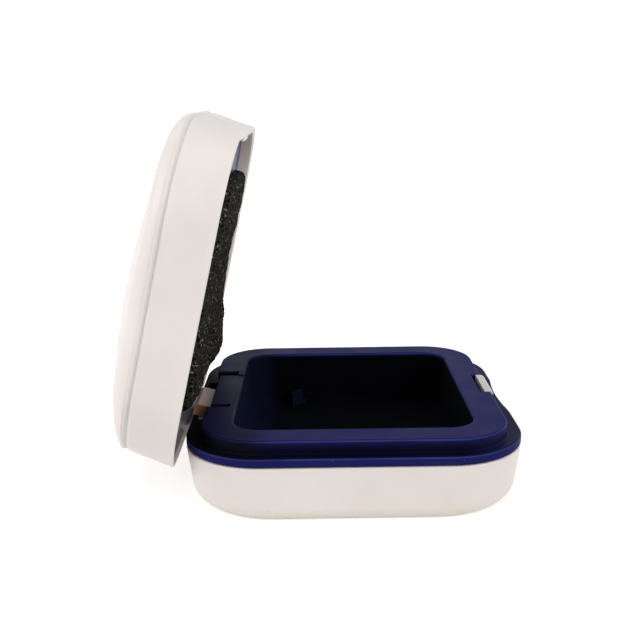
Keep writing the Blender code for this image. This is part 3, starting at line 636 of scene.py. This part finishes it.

# Painted light in the cavity: the wall by the hinge and the stop block are painted a little bluer and
# lighter.
hinge_side = add_node(
    tree, "ShaderNodeMapRange",
    {"From Min": -15.0 * mm, "From Max": -19.0 * mm, "interpolation_type": "SMOOTHSTEP"},
    {"Value": spot.outputs["X"]},
)
painted_blue_light = add_node(
    tree, "ShaderNodeMath", {"operation": "MAXIMUM"},
    {0: hinge_side.outputs["Result"], 1: on_block.outputs[0]},
)
cavity_shade_tint = add_node(
    tree, "ShaderNodeMix", {"data_type": "RGBA", 6: srgb("#07080D"), 7: srgb("#0E1226")},
    {0: painted_blue_light.outputs[0]},
)
finish_tint = add_node(
    tree, "ShaderNodeMix", {"data_type": "RGBA"},
    {0: cavity.outputs[0], 6: lid_shadow_tint.outputs[2], 7: cavity_shade_tint.outputs[2]},
)
sheen_level = add_node(
    tree, "ShaderNodeMapRange", {"From Min": 0.3, "From Max": 0.7, "To Min": 0.38, "To Max": 0.52},
    {"Value": cloud.outputs["Fac"]},
)
gloss = add_node(
    tree, "ShaderNodeMath", {"operation": "MULTIPLY_ADD", 1: 0.45, "use_clamp": True},
    {0: cavity.outputs[0], 2: sheen_level.outputs["Result"]},
)
relief = add_node(
    tree, "ShaderNodeBump", {"Strength": 0.2, "Distance": 0.02 * mm}, {"Height": grain.outputs["Fac"]}
)
tree.links.new(finish_tint.outputs[2], shader.inputs["Base Color"])
tree.links.new(gloss.outputs[0], shader.inputs["Roughness"])
tree.links.new(relief.outputs["Normal"], shader.inputs["Normal"])
shader.inputs["IOR"].default_value = 1.5
shader.inputs["Specular IOR Level"].default_value = 0.02
dress(tray, navy_abs, "tray", "base")
dress(stop_block, navy_abs, "tray", "base")


# Hinge pin: a ground steel dowel with chamfered ends, pressed through both cheeks and the lid's arm.
pin_chamfer = 0.12 * mm
form = rod(hinge_axis, lay_along_y, pin_length, pin_radius, sides=40, chamfer=pin_chamfer)
hinge_pin = settle(form, "hinge_pin_dowel")

# Ground and polished steel: fine rings of 0.1 mm round the pin, drawn along its length.
pin_steel, tree, shader, place = start_finish("ground_steel_dowel")
squeeze = add_node(tree, "ShaderNodeMapping", {"Scale": (300.0, 9000.0, 300.0)}, {"Vector": place})
rings = add_node(
    tree, "ShaderNodeTexNoise", {"Scale": 1.0, "Detail": 3.0}, {"Vector": squeeze.outputs["Vector"]}
)
tone = add_node(
    tree, "ShaderNodeMix", {"data_type": "RGBA", 6: srgb("#A9A9AC"), 7: srgb("#D2D2D4")},
    {0: rings.outputs["Fac"]},
)
gloss = add_node(
    tree, "ShaderNodeMapRange", {"To Min": 0.18, "To Max": 0.38}, {"Value": rings.outputs["Fac"]}
)
relief = add_node(
    tree, "ShaderNodeBump", {"Strength": 0.15, "Distance": 0.01 * mm}, {"Height": rings.outputs["Fac"]}
)
tree.links.new(tone.outputs[2], shader.inputs["Base Color"])
tree.links.new(gloss.outputs["Result"], shader.inputs["Roughness"])
tree.links.new(relief.outputs["Normal"], shader.inputs["Normal"])
shader.inputs["Metallic"].default_value = 1.0
dress(hinge_pin, pin_steel, "hinge_pin", "base")


# Latch spring: music wire wound cold into a short coil between the cavity wall and the latch plate.
# The CAD solid is already the wound wire, so it stays and only takes its finish.
spring_steel, tree, shader, place = start_finish("music_wire")
drawn = add_node(tree, "ShaderNodeTexNoise", {"Scale": 4000.0, "Detail": 2.0}, {"Vector": place})
tone = add_node(
    tree, "ShaderNodeMix", {"data_type": "RGBA", 6: srgb("#8E8C88"), 7: srgb("#C4C2BE")},
    {0: drawn.outputs["Fac"]},
)
gloss = add_node(
    tree, "ShaderNodeMapRange", {"To Min": 0.22, "To Max": 0.42}, {"Value": drawn.outputs["Fac"]}
)
tree.links.new(tone.outputs[2], shader.inputs["Base Color"])
tree.links.new(gloss.outputs["Result"], shader.inputs["Roughness"])
shader.inputs["Metallic"].default_value = 1.0
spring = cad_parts["latch_spring"]
for slot in spring.material_slots:
    slot.material = spring_steel


# Latch button: one acetal moulding. Its thin hook plate stands up through the notch in the tray and
# catches the lid's rib with a sloped nose; its press face fills the window in the shell, with three
# shallow grooves for the thumb, and a post on its back centres the spring.
form = bmesh.new()
plate(
    form,
    [
        (27.75, 4.3, 0), (28.9, 4.3, 0), (28.9, 14.6, 0), (29.6, 14.6, 0),
        (29.6, 15.0, 0), (29.1, 15.45, 0), (27.75, 15.45, 0),
    ],
    -4.6, 6.7,
)
bmesh.ops.bevel(
    form, geom=[edge for edge in form.edges if edge.calc_face_angle(0) > smooth_angle],
    offset=0.12 * mm, affect="EDGES", segments=3, profile=0.5, material=-1,
)
latch = settle(form, "latch_button_moulding")
post_place = Vector((26.85, 0, 7.1)) * mm
form = rod(post_place, Matrix.Rotation(-math.pi / 2, 3, "Y"), 1.4 * mm, 0.9 * mm, 0.75 * mm)
parts = [block("press_face", (27.85, -5.4, 4.8), (32.0, 5.4, 9.4), 0.45, 4), settle(form, "spring_post")]
work(latch, parts, "UNION")
thumb_grooves = [
    block(f"thumb_groove_{turn}", (31.75, -4.0, 6.1 + turn * 0.85), (33.0, 4.0, 6.45 + turn * 0.85), 0.1)
    for turn in range(3)
]
work(latch, thumb_grooves)

# Acetal, moulded, natural ivory: waxy and slightly see-through, with a soft sheen. The hook plate is painted
# in shade, darker down into the tray's notch.
acetal, tree, shader, place = start_finish("moulded_ivory_acetal")
cloud = add_node(tree, "ShaderNodeTexNoise", {"Scale": 500.0, "Detail": 4.0}, {"Vector": place})
tint = add_node(
    tree, "ShaderNodeMix", {"data_type": "RGBA", 6: srgb("#C4C2BC"), 7: srgb("#D6D4CE")},
    {0: cloud.outputs["Fac"]},
)
height = add_node(tree, "ShaderNodeSeparateXYZ", None, {"Vector": place})
latch_notch_shade = add_node(
    tree, "ShaderNodeMapRange",
    {"From Min": 15.3 * mm, "From Max": 13.6 * mm, "To Max": 0.85}, {"Value": height.outputs["Z"]},
)
hook = add_node(
    tree, "ShaderNodeMath", {"operation": "GREATER_THAN", 1: 9.8 * mm}, {0: height.outputs["Z"]}
)
latch_notch_shade = add_node(
    tree, "ShaderNodeMath", {"operation": "MULTIPLY"}, {0: latch_notch_shade.outputs["Result"], 1: hook.outputs[0]}
)
latch_shaded_tint = add_node(
    tree, "ShaderNodeMix", {"data_type": "RGBA", 7: srgb("#6E6152")},
    {0: latch_notch_shade.outputs[0], 6: tint.outputs[2]},
)
gloss = add_node(
    tree, "ShaderNodeMapRange", {"To Min": 0.30, "To Max": 0.45}, {"Value": cloud.outputs["Fac"]}
)
relief = add_node(
    tree, "ShaderNodeBump", {"Strength": 0.1, "Distance": 0.02 * mm}, {"Height": cloud.outputs["Fac"]}
)
tree.links.new(latch_shaded_tint.outputs[2], shader.inputs["Base Color"])
tree.links.new(gloss.outputs["Result"], shader.inputs["Roughness"])
tree.links.new(relief.outputs["Normal"], shader.inputs["Normal"])
shader.inputs["IOR"].default_value = 1.48
shader.inputs["Subsurface Weight"].default_value = 0.2
shader.inputs["Subsurface Radius"].default_value = (1.0, 0.8, 0.5)
shader.inputs["Subsurface Scale"].default_value = 1.0 * mm
dress(latch, acetal, "latch_button", "latch")


# Lid frame: the side wall of the lid, white ABS like the shell. It is drafted, leans out over the thumb at
# the latch end, and its top edge rolls into the joint with the cap. Inside, a ledge carries the liner.
lid_rim = flange_top + fit_gap
lid_wall = 1.4 * mm
lid_draft = 0.9 * mm
lid_hinge_draft = 0.2 * mm
lid_corner_gain = 3.0 * mm
beak_low = -0.3 * mm
beak_top = 0.9 * mm
groove = 9.4 * mm
groove_gap = 0.3 * mm
groove_half = 0.25 * mm
groove_rise = 0.65 * mm
groove_depth = 0.3 * mm
lid_rim_round = 0.35 * mm
ledge_top = 5.2 * mm
ledge_in = 1.2 * mm
liner_low = 2.7 * mm
liner_thick = 1.2 * mm
relief_start = 0.05 * mm
relief_sink = 0.2 * mm
relief_rise = 1.2 * mm
relief_run = 2.38 * mm
relief_end_x = -28.0 * mm
open_angle = math.radians(76.7)
swing_open = (
    Matrix.Translation(hinge_axis) @ Matrix.Rotation(-open_angle, 4, "Y") @ Matrix.Translation(-hinge_axis)
)


def lid_outline(form, n, inset, z=None, left=1.0, hinge_in=0.0, cuts=0):
    """Outline of the closed lid at wall height n: drafted, but leaning out at the latch end."""
    climb = n / groove
    hinge_x = case_half_x - lid_hinge_draft * climb - inset - hinge_in
    latch_x = case_half_x + beak_low + (beak_top - beak_low) * climb - inset
    half_x = (latch_x + hinge_x) / 2
    half_y = case_half_y - lid_draft * climb - inset
    corner = (case_corner + lid_corner_gain * climb - inset) * left
    top = lid_rim + (n if z is None else z)
    return outline(form, half_x * left, half_y * left, corner, top, (latch_x - hinge_x) / 2, cuts)


def open_up(piece):
    """Swings a piece that was made on the closed lid to where the open lid holds it."""
    piece.data.transform(swing_open)
    piece.data.update()


form = bmesh.new()
wall = [lid_outline(form, lid_rim_round * up, lid_rim_round * side) for side, up in quarter(5)]
wall += [
    lid_outline(form, groove - groove_half - groove_rise * side, groove_depth * up) for side, up in quarter(6)
]
ledge_low = liner_low + liner_thick + fit_gap
wall += [
    lid_outline(form, groove - groove_gap / 2, groove_depth),
    lid_outline(form, groove - groove_gap / 2, lid_wall),
    lid_outline(form, ledge_top, lid_wall),
    lid_outline(form, ledge_top, lid_wall + ledge_in),
    lid_outline(form, ledge_low, lid_wall + ledge_in),
    lid_outline(form, ledge_low, lid_wall),
    lid_outline(form, lid_rim_round, lid_wall),
]
skin(form, wall, shut=True)
lid_frame = settle(form, "lid_frame_moulding")

# The rim's inner edge is eased off at the hinge end, where it swings past the edge of the tray.
form = bmesh.new()
skin(form, [lid_outline(form, -relief_sink, relief_start), lid_outline(form, relief_rise, relief_run)])
parted = bmesh.ops.bisect_plane(
    form, geom=form.verts[:] + form.edges[:] + form.faces[:],
    plane_co=(relief_end_x, 0, 0), plane_no=(1, 0, 0), clear_outer=True,
)
rim_of_cut = [item for item in parted["geom_cut"] if isinstance(item, bmesh.types.BMEdge)]
bmesh.ops.edgeloop_fill(form, edges=rim_of_cut)
work(lid_frame, [settle(form, "hinge_end_relief")])
work(lid_frame, [block("catch_rib", (29.5, -4.2, 13.5), (30.9, 6.3, 14.3), 0.2)], "UNION")
open_up(lid_frame)
dress(lid_frame, white_abs, "lid_frame", "lid")


# Hinge arm: moulded with the lid frame, a thick hooked foot that reaches down through the shell's window
# and turns on the pin. It is bare, unpainted plastic; its upper part is painted in shade, yellow-brown on
# its near side.
arm_half_y = 5.7
arm_fit = 0.05 * mm
form = bmesh.new()
arm_corners = [
    (-2.7, 7.0, 0), (-2.7, 0.5, 1.4), (-1.0, -1.95, 1.2), (1.0, -1.95, 1.2),
    (4.7, 0.7, 0.9), (4.7, 3.5, 0.4), (4.1, 4.3, 0.3), (-0.35, 4.3, 1.2), (-0.35, 7.0, 0),
]
plate(form, arm_corners, -arm_half_y, arm_half_y, (hinge_axis.x / mm, hinge_axis.z / mm))
bmesh.ops.bevel(
    form, geom=[edge for edge in form.edges if edge.calc_face_angle(0) > smooth_angle],
    offset=0.25 * mm, affect="EDGES", segments=3, profile=0.5, material=-1,
)
hinge_arm = settle(form, "hinge_arm_moulding")
work(hinge_arm, [settle(rod(hinge_axis, lay_along_y, pin_length, pin_radius + arm_fit), "arm_bore")])
open_up(hinge_arm)

# The same white ABS, bare and a little see-through. Its upper part is painted in shade: pinkish grey on top,
# darker brown-grey across it where painted shadow falls, and amber on its near side.
arm_abs, tree, shader, place = start_finish("thick_white_abs")
cloud = add_node(tree, "ShaderNodeTexNoise", {"Scale": 300.0, "Detail": 4.0}, {"Vector": place})
spot = add_node(tree, "ShaderNodeSeparateXYZ", None, {"Vector": place})
tint = add_node(
    tree, "ShaderNodeMix", {"data_type": "RGBA", 6: srgb("#F0E8EA"), 7: srgb("#E2D9DC")},
    {0: cloud.outputs["Fac"]},
)
arm_shadow_reach = add_node(
    tree, "ShaderNodeMapRange", {"From Min": -32.0 * mm, "From Max": -29.0 * mm}, {"Value": spot.outputs["X"]}
)
top_tint = add_node(
    tree, "ShaderNodeMix", {"data_type": "RGBA", 6: srgb("#D8C6BE"), 7: srgb("#94796C")},
    {0: arm_shadow_reach.outputs["Result"]},
)
arm_shade_height = add_node(
    tree, "ShaderNodeMapRange",
    {"From Min": 10.6 * mm, "From Max": 11.2 * mm, "interpolation_type": "SMOOTHSTEP"},
    {"Value": spot.outputs["Z"]},
)
front = add_node(
    tree, "ShaderNodeMapRange", {"From Min": -5.65 * mm, "From Max": -5.2 * mm}, {"Value": spot.outputs["Y"]}
)
arm_near_shade = add_node(
    tree, "ShaderNodeMix", {"data_type": "RGBA", 6: srgb("#C08A55")},
    {0: front.outputs["Result"], 7: top_tint.outputs[2]},
)
warm = add_node(
    tree, "ShaderNodeMix", {"data_type": "RGBA"},
    {0: arm_shade_height.outputs["Result"], 6: tint.outputs[2], 7: arm_near_shade.outputs[2]},
)
relief = add_node(
    tree, "ShaderNodeBump", {"Strength": 0.1, "Distance": 0.02 * mm}, {"Height": cloud.outputs["Fac"]}
)
tree.links.new(warm.outputs[2], shader.inputs["Base Color"])
tree.links.new(relief.outputs["Normal"], shader.inputs["Normal"])
shader.inputs["Roughness"].default_value = 0.42
shader.inputs["IOR"].default_value = 1.5
shader.inputs["Subsurface Weight"].default_value = 0.3
shader.inputs["Subsurface Radius"].default_value = (1.0, 0.6, 0.35)
shader.inputs["Subsurface Scale"].default_value = 1.5 * mm
dress(hinge_arm, arm_abs, "lid_frame", "lid")


# Lid cap: the domed outer face, a separate white ABS moulding that plugs into the frame with a lip and
# leaves a fine groove. Its shoulder is quick at the sides and slow at the hinge end, its crown shallow.
shoulder_height = 1.95 * mm
shoulder_round = 3.2 * mm
shoulder_hinge_round = 10.5 * mm
crown_height = 5.25 * mm
crown_lean = 0.22
lip_in = lid_wall + fit_gap
lip_low = 7.4 * mm
under_in = lip_in + 1.0 * mm


def dome(form, edge_in, foot_n, rise, crown, steps, shares):
    """Loops of a dome from its edge to near its middle: a quick shoulder, then a slow crown."""
    half_y = case_half_y - lid_draft - edge_in
    low_x = -(case_half_x - lid_hinge_draft - edge_in)
    high_x = case_half_x + beak_top - edge_in
    middle_x = (low_x + high_x) / 2
    half_x = (high_x - low_x) / 2
    stages = [(up, 1.0, 1 - side) for side, up in quarter(steps)[1:]]
    stages += [(1.0, 1 - share, 1.0) for share in shares]
    loops = []
    for part, left, level in stages:
        hinge_in = (shoulder_hinge_round - shoulder_round) * part
        loop = lid_outline(form, groove, edge_in + shoulder_round * part, foot_n, left, hinge_in, 14)
        for spot in {spot for edge in loop for spot in edge.verts}:
            aside = (spot.co.x - middle_x) / half_x
            across = (1 - aside**2) * (1 - crown_lean * aside)
            along = 1 - (spot.co.y / half_y) ** 2
            spot.co.z += level * (rise + crown * across * along)
        loops.append(loop)
    return loops


form = bmesh.new()
low_n = groove + groove_half
cap_shares = [share / 24 for share in range(1, 24)]
cap_foot = low_n + groove_rise - 0.35 * mm
wall = dome(form, 0, cap_foot, shoulder_height, crown_height, 10, cap_shares)[::-1]
wall += [
    lid_outline(form, low_n + groove_rise * side, groove_depth * up, cuts=14) for side, up in quarter(5)
]
wall += [
    lid_outline(form, groove - 0.13 * mm, groove_depth + 0.03 * mm, cuts=14),
    lid_outline(form, groove - 0.13 * mm, lip_in, cuts=14),
    lid_outline(form, lip_low, lip_in, cuts=14),
    lid_outline(form, lip_low, under_in, cuts=14),
    lid_outline(form, groove, under_in, cuts=14),
]
wall += dome(form, under_in, 10.3 * mm, 0.7 * mm, 4.9 * mm, 4, [share / 8 for share in range(1, 8)])
skin(form, wall)
lid_cap = settle(form, "lid_cap_moulding")
open_up(lid_cap)
dress(lid_cap, white_abs, "lid_cap", "lid")


# Liner: a thin flat plate of violet-navy ABS that lies on the frame's ledge and backs the foam.
liner_round = 0.2 * mm
liner_top = liner_low + liner_thick
form = bmesh.new()
wall = [
    lid_outline(form, liner_low + liner_round * up, lip_in + liner_round * side) for side, up in quarter(3)
]
wall += [
    lid_outline(form, liner_top - liner_round * side, lip_in + liner_round * up) for side, up in quarter(3)
]
skin(form, wall)
liner = settle(form, "lid_liner_plate")
open_up(liner)

# Navy ABS moulded thin and smooth, a little paler and glossier than the tray.
liner_abs, tree, shader, place = start_finish("smooth_violet_navy_abs")
cloud = add_node(tree, "ShaderNodeTexNoise", {"Scale": 90.0, "Detail": 3.0}, {"Vector": place})
tint = add_node(
    tree, "ShaderNodeMix", {"data_type": "RGBA", 6: srgb("#322C58"), 7: srgb("#3D3664")},
    {0: cloud.outputs["Fac"]},
)
gloss = add_node(
    tree, "ShaderNodeMapRange", {"To Min": 0.30, "To Max": 0.42}, {"Value": cloud.outputs["Fac"]}
)
relief = add_node(
    tree, "ShaderNodeBump", {"Strength": 0.1, "Distance": 0.02 * mm}, {"Height": cloud.outputs["Fac"]}
)
tree.links.new(tint.outputs[2], shader.inputs["Base Color"])
tree.links.new(gloss.outputs["Result"], shader.inputs["Roughness"])
tree.links.new(relief.outputs["Normal"], shader.inputs["Normal"])
shader.inputs["IOR"].default_value = 1.5
shader.inputs["Specular IOR Level"].default_value = 0.12
dress(liner, liner_abs, "lid_liner", "lid")


# Foam pad: a slab of open-cell polyurethane foam, knife-cut and glued to the liner, thicker towards the
# hinge. Its cut faces are open cells of about 0.9 mm, its edges ragged, and it presses on the contents.
pad_low_x = -22.2 * mm
pad_high_x = 21.7 * mm
pad_half_y = 22.5 * mm
pad_corner = 6.0 * mm
pad_back = 2.4 * mm
pad_edge = 1.8 * mm
pad_bulge_near, pad_bulge_far = 1.45, 2.5
pad_press = 1.6
cell = 0.9 * mm
strut_rise = 0.10 * mm
pore_depth = 0.42 * mm
grit = 0.16 * mm
knife_waver = 0.25 * mm


def ease(share):
    """Share from 0 to 1, slow at both ends."""
    share = min(max(share, 0.0), 1.0)
    return share * share * (3 - 2 * share)


def pad_face(x, y):
    """Height over the rim plane of the foam's face: proud near the hinge, most on the far side, pressed in
    over the middle where the arm stands, rounded off at the hinge end, and full again near the latch."""
    x, y = x / mm, y / mm
    bulge = pad_bulge_near + (pad_bulge_far - pad_bulge_near) * ease((y + 20) / 30)
    face = 0.2 - bulge * math.exp(-(((x + 18.5) / 10) ** 2))
    face += pad_press * ease((-15.5 - x) / 4.5) * math.exp(-(((y - 1) / 8) ** 2))
    face += 1.8 * max(-18.0 - x, 0.0) ** 2 / 14 - 0.4 * ease((x - 4) / 8)
    return face * mm


form = bmesh.new()
wall = []
pad_stages = [(0.0, 0.0)] + [(1 - side / 2, pad_edge * up) for side, up in quarter(6)]
pad_stages += [(1.0, pad_edge + share / 20 * 18.0 * mm) for share in range(1, 20)]
for share, inset in pad_stages:
    half_x = (pad_high_x - pad_low_x) / 2 - inset
    corner = max(pad_corner - inset, 0.3 * mm)
    loop = outline(form, half_x, pad_half_y - inset, corner, 0.0, (pad_low_x + pad_high_x) / 2, 12)
    for spot in {spot for edge in loop for spot in edge.verts}:
        spot.co.z = lid_rim + pad_back + (pad_face(spot.co.x, spot.co.y) - pad_back) * share
    wall.append(loop)
skin(form, wall)
foam_pad = settle(form, "foam_pad_slab")
remesh = foam_pad.modifiers.new("even_mesh", "REMESH")
remesh.mode = "VOXEL"
remesh.voxel_size = 0.24 * mm
apply_changes(foam_pad)
open_up(foam_pad)
form = bmesh.new()
form.from_mesh(foam_pad.data)
form.normal_update()
for spot in form.verts:
    gaps, _ = noise.voronoi(spot.co / cell)
    pore = min(gaps[1] - gaps[0], 0.6) / 0.6
    rough = noise.noise(spot.co / (0.35 * mm))
    ragged = noise.noise(spot.co / (3.0 * mm))
    spot.co += spot.normal * (strut_rise - pore_depth * pore + grit * rough + knife_waver * ragged)
form.to_mesh(foam_pad.data)
form.free()
foam_pad.data.shade_smooth()

# Open-cell polyurethane foam, charcoal: rough struts with painted brown-grey highlights, round pores
# painted black as shade.
pu_foam, tree, shader, place = start_finish("open_cell_pu_foam")
pores = add_node(
    tree, "ShaderNodeTexVoronoi", {"Scale": 1000.0, "feature": "DISTANCE_TO_EDGE"}, {"Vector": place}
)
struts = add_node(
    tree, "ShaderNodeMapRange", {"From Min": 0.0, "From Max": 0.22, "To Min": 1.0, "To Max": 0.0},
    {"Value": pores.outputs["Distance"]},
)
glint = add_node(tree, "ShaderNodeTexNoise", {"Scale": 1300.0, "Detail": 3.0}, {"Vector": place})
painted_glints = add_node(
    tree, "ShaderNodeMapRange", {"From Min": 0.60, "From Max": 0.70}, {"Value": glint.outputs["Fac"]}
)
tint = add_node(
    tree, "ShaderNodeMix", {"data_type": "RGBA", 6: srgb("#0B0B09"), 7: srgb("#35342D")},
    {0: struts.outputs["Result"]},
)
lit = add_node(
    tree, "ShaderNodeMix", {"data_type": "RGBA", 7: srgb("#8C867A")},
    {0: painted_glints.outputs["Result"], 6: tint.outputs[2]},
)
relief = add_node(
    tree, "ShaderNodeBump", {"Strength": 0.8, "Distance": 0.2 * mm}, {"Height": glint.outputs["Fac"]}
)
tree.links.new(lit.outputs[2], shader.inputs["Base Color"])
tree.links.new(relief.outputs["Normal"], shader.inputs["Normal"])
shader.inputs["Roughness"].default_value = 0.9
shader.inputs["Specular IOR Level"].default_value = 0.05
foam_pad.data.materials.clear()
foam_pad.data.materials.append(pu_foam)
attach(foam_pad, "lid")
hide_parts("foam_pad")


# Studio: a plain white floor under soft lights, and a white room that the camera and the gloss see.
def seen_directly(tree):
    """The last of the nodes that give 1 to what the camera, gloss or clear plastic looks at, and else 0."""
    path = add_node(tree, "ShaderNodeLightPath")
    eye = add_node(
        tree, "ShaderNodeMath", {"operation": "MAXIMUM"},
        {0: path.outputs["Is Camera Ray"], 1: path.outputs["Is Glossy Ray"]},
    )
    return add_node(
        tree, "ShaderNodeMath", {"operation": "MAXIMUM"},
        {0: eye.outputs[0], 1: path.outputs["Is Transmission Ray"]},
    )


form = bmesh.new()
bmesh.ops.create_grid(form, x_segments=1, y_segments=1, size=3.0)
floor = settle(form, "studio_floor")
floor_paper, tree, shader, place = start_finish("white_paper")
fibre = add_node(tree, "ShaderNodeTexNoise", {"Scale": 900.0, "Detail": 4.0}, {"Vector": place})
paper = add_node(
    tree, "ShaderNodeMix", {"data_type": "RGBA", 6: srgb("#F3F3F3"), 7: srgb("#F7F7F7")},
    {0: fibre.outputs["Fac"]},
)
tree.links.new(paper.outputs[2], shader.inputs["Base Color"])
shader.inputs["Roughness"].default_value = 1.0
shader.inputs["Specular IOR Level"].default_value = 0.0
seen = seen_directly(tree)
reach = add_node(tree, "ShaderNodeVectorMath", {"operation": "LENGTH"}, {"Vector": place})
lift = add_node(
    tree, "ShaderNodeMapRange", {"From Min": 0.08, "From Max": 0.6, "To Min": 0.42, "To Max": 1.0},
    {"Value": reach.outputs["Value"]},
)
glow = add_node(
    tree, "ShaderNodeMath", {"operation": "MULTIPLY"}, {0: seen.outputs[0], 1: lift.outputs["Result"]}
)
shader.inputs["Emission Color"].default_value = (1.0, 1.0, 1.0, 1.0)
tree.links.new(glow.outputs[0], shader.inputs["Emission Strength"])
floor.data.materials.append(floor_paper)

world = bpy.data.worlds.new("white_room")
bpy.context.scene.world = world
world.use_nodes = True
tree = world.node_tree
tree.nodes.clear()
seen = seen_directly(tree)
level = add_node(
    tree, "ShaderNodeMapRange", {"To Min": 0.31, "To Max": 1.0}, {"Value": seen.outputs[0]}
)
room = add_node(
    tree, "ShaderNodeBackground", {"Color": (1.0, 1.0, 1.0, 1.0)}, {"Strength": level.outputs["Result"]}
)
add_node(tree, "ShaderNodeOutputWorld", None, {"Surface": room.outputs["Background"]})


light_target = Vector((0, 0, 30)) * mm


def soft_light(name, place, size, power):
    """A square white soft box, placed in metres, that looks at the middle of the case."""
    lamp_data = bpy.data.lights.new(name, "AREA")
    lamp_data.size = size
    lamp_data.energy = power
    lamp_data.color = srgb("#FFFFFF")[:3]
    lamp = bpy.data.objects.new(name, lamp_data)
    lamp.location = place
    lamp.rotation_euler = (light_target - Vector(place)).to_track_quat("-Z", "Y").to_euler()
    bpy.context.scene.collection.objects.link(lamp)


soft_light("ceiling_light", (0.0, 0.0, 1.00), 0.80, 1.7)
soft_light("front_light", (-0.60, -0.60, 0.45), 0.50, 2.6)
soft_light("left_light", (-0.90, 0.0, 0.35), 0.50, 2.1)
soft_light("right_light", (0.70, -0.50, 0.45), 0.50, 3.7)
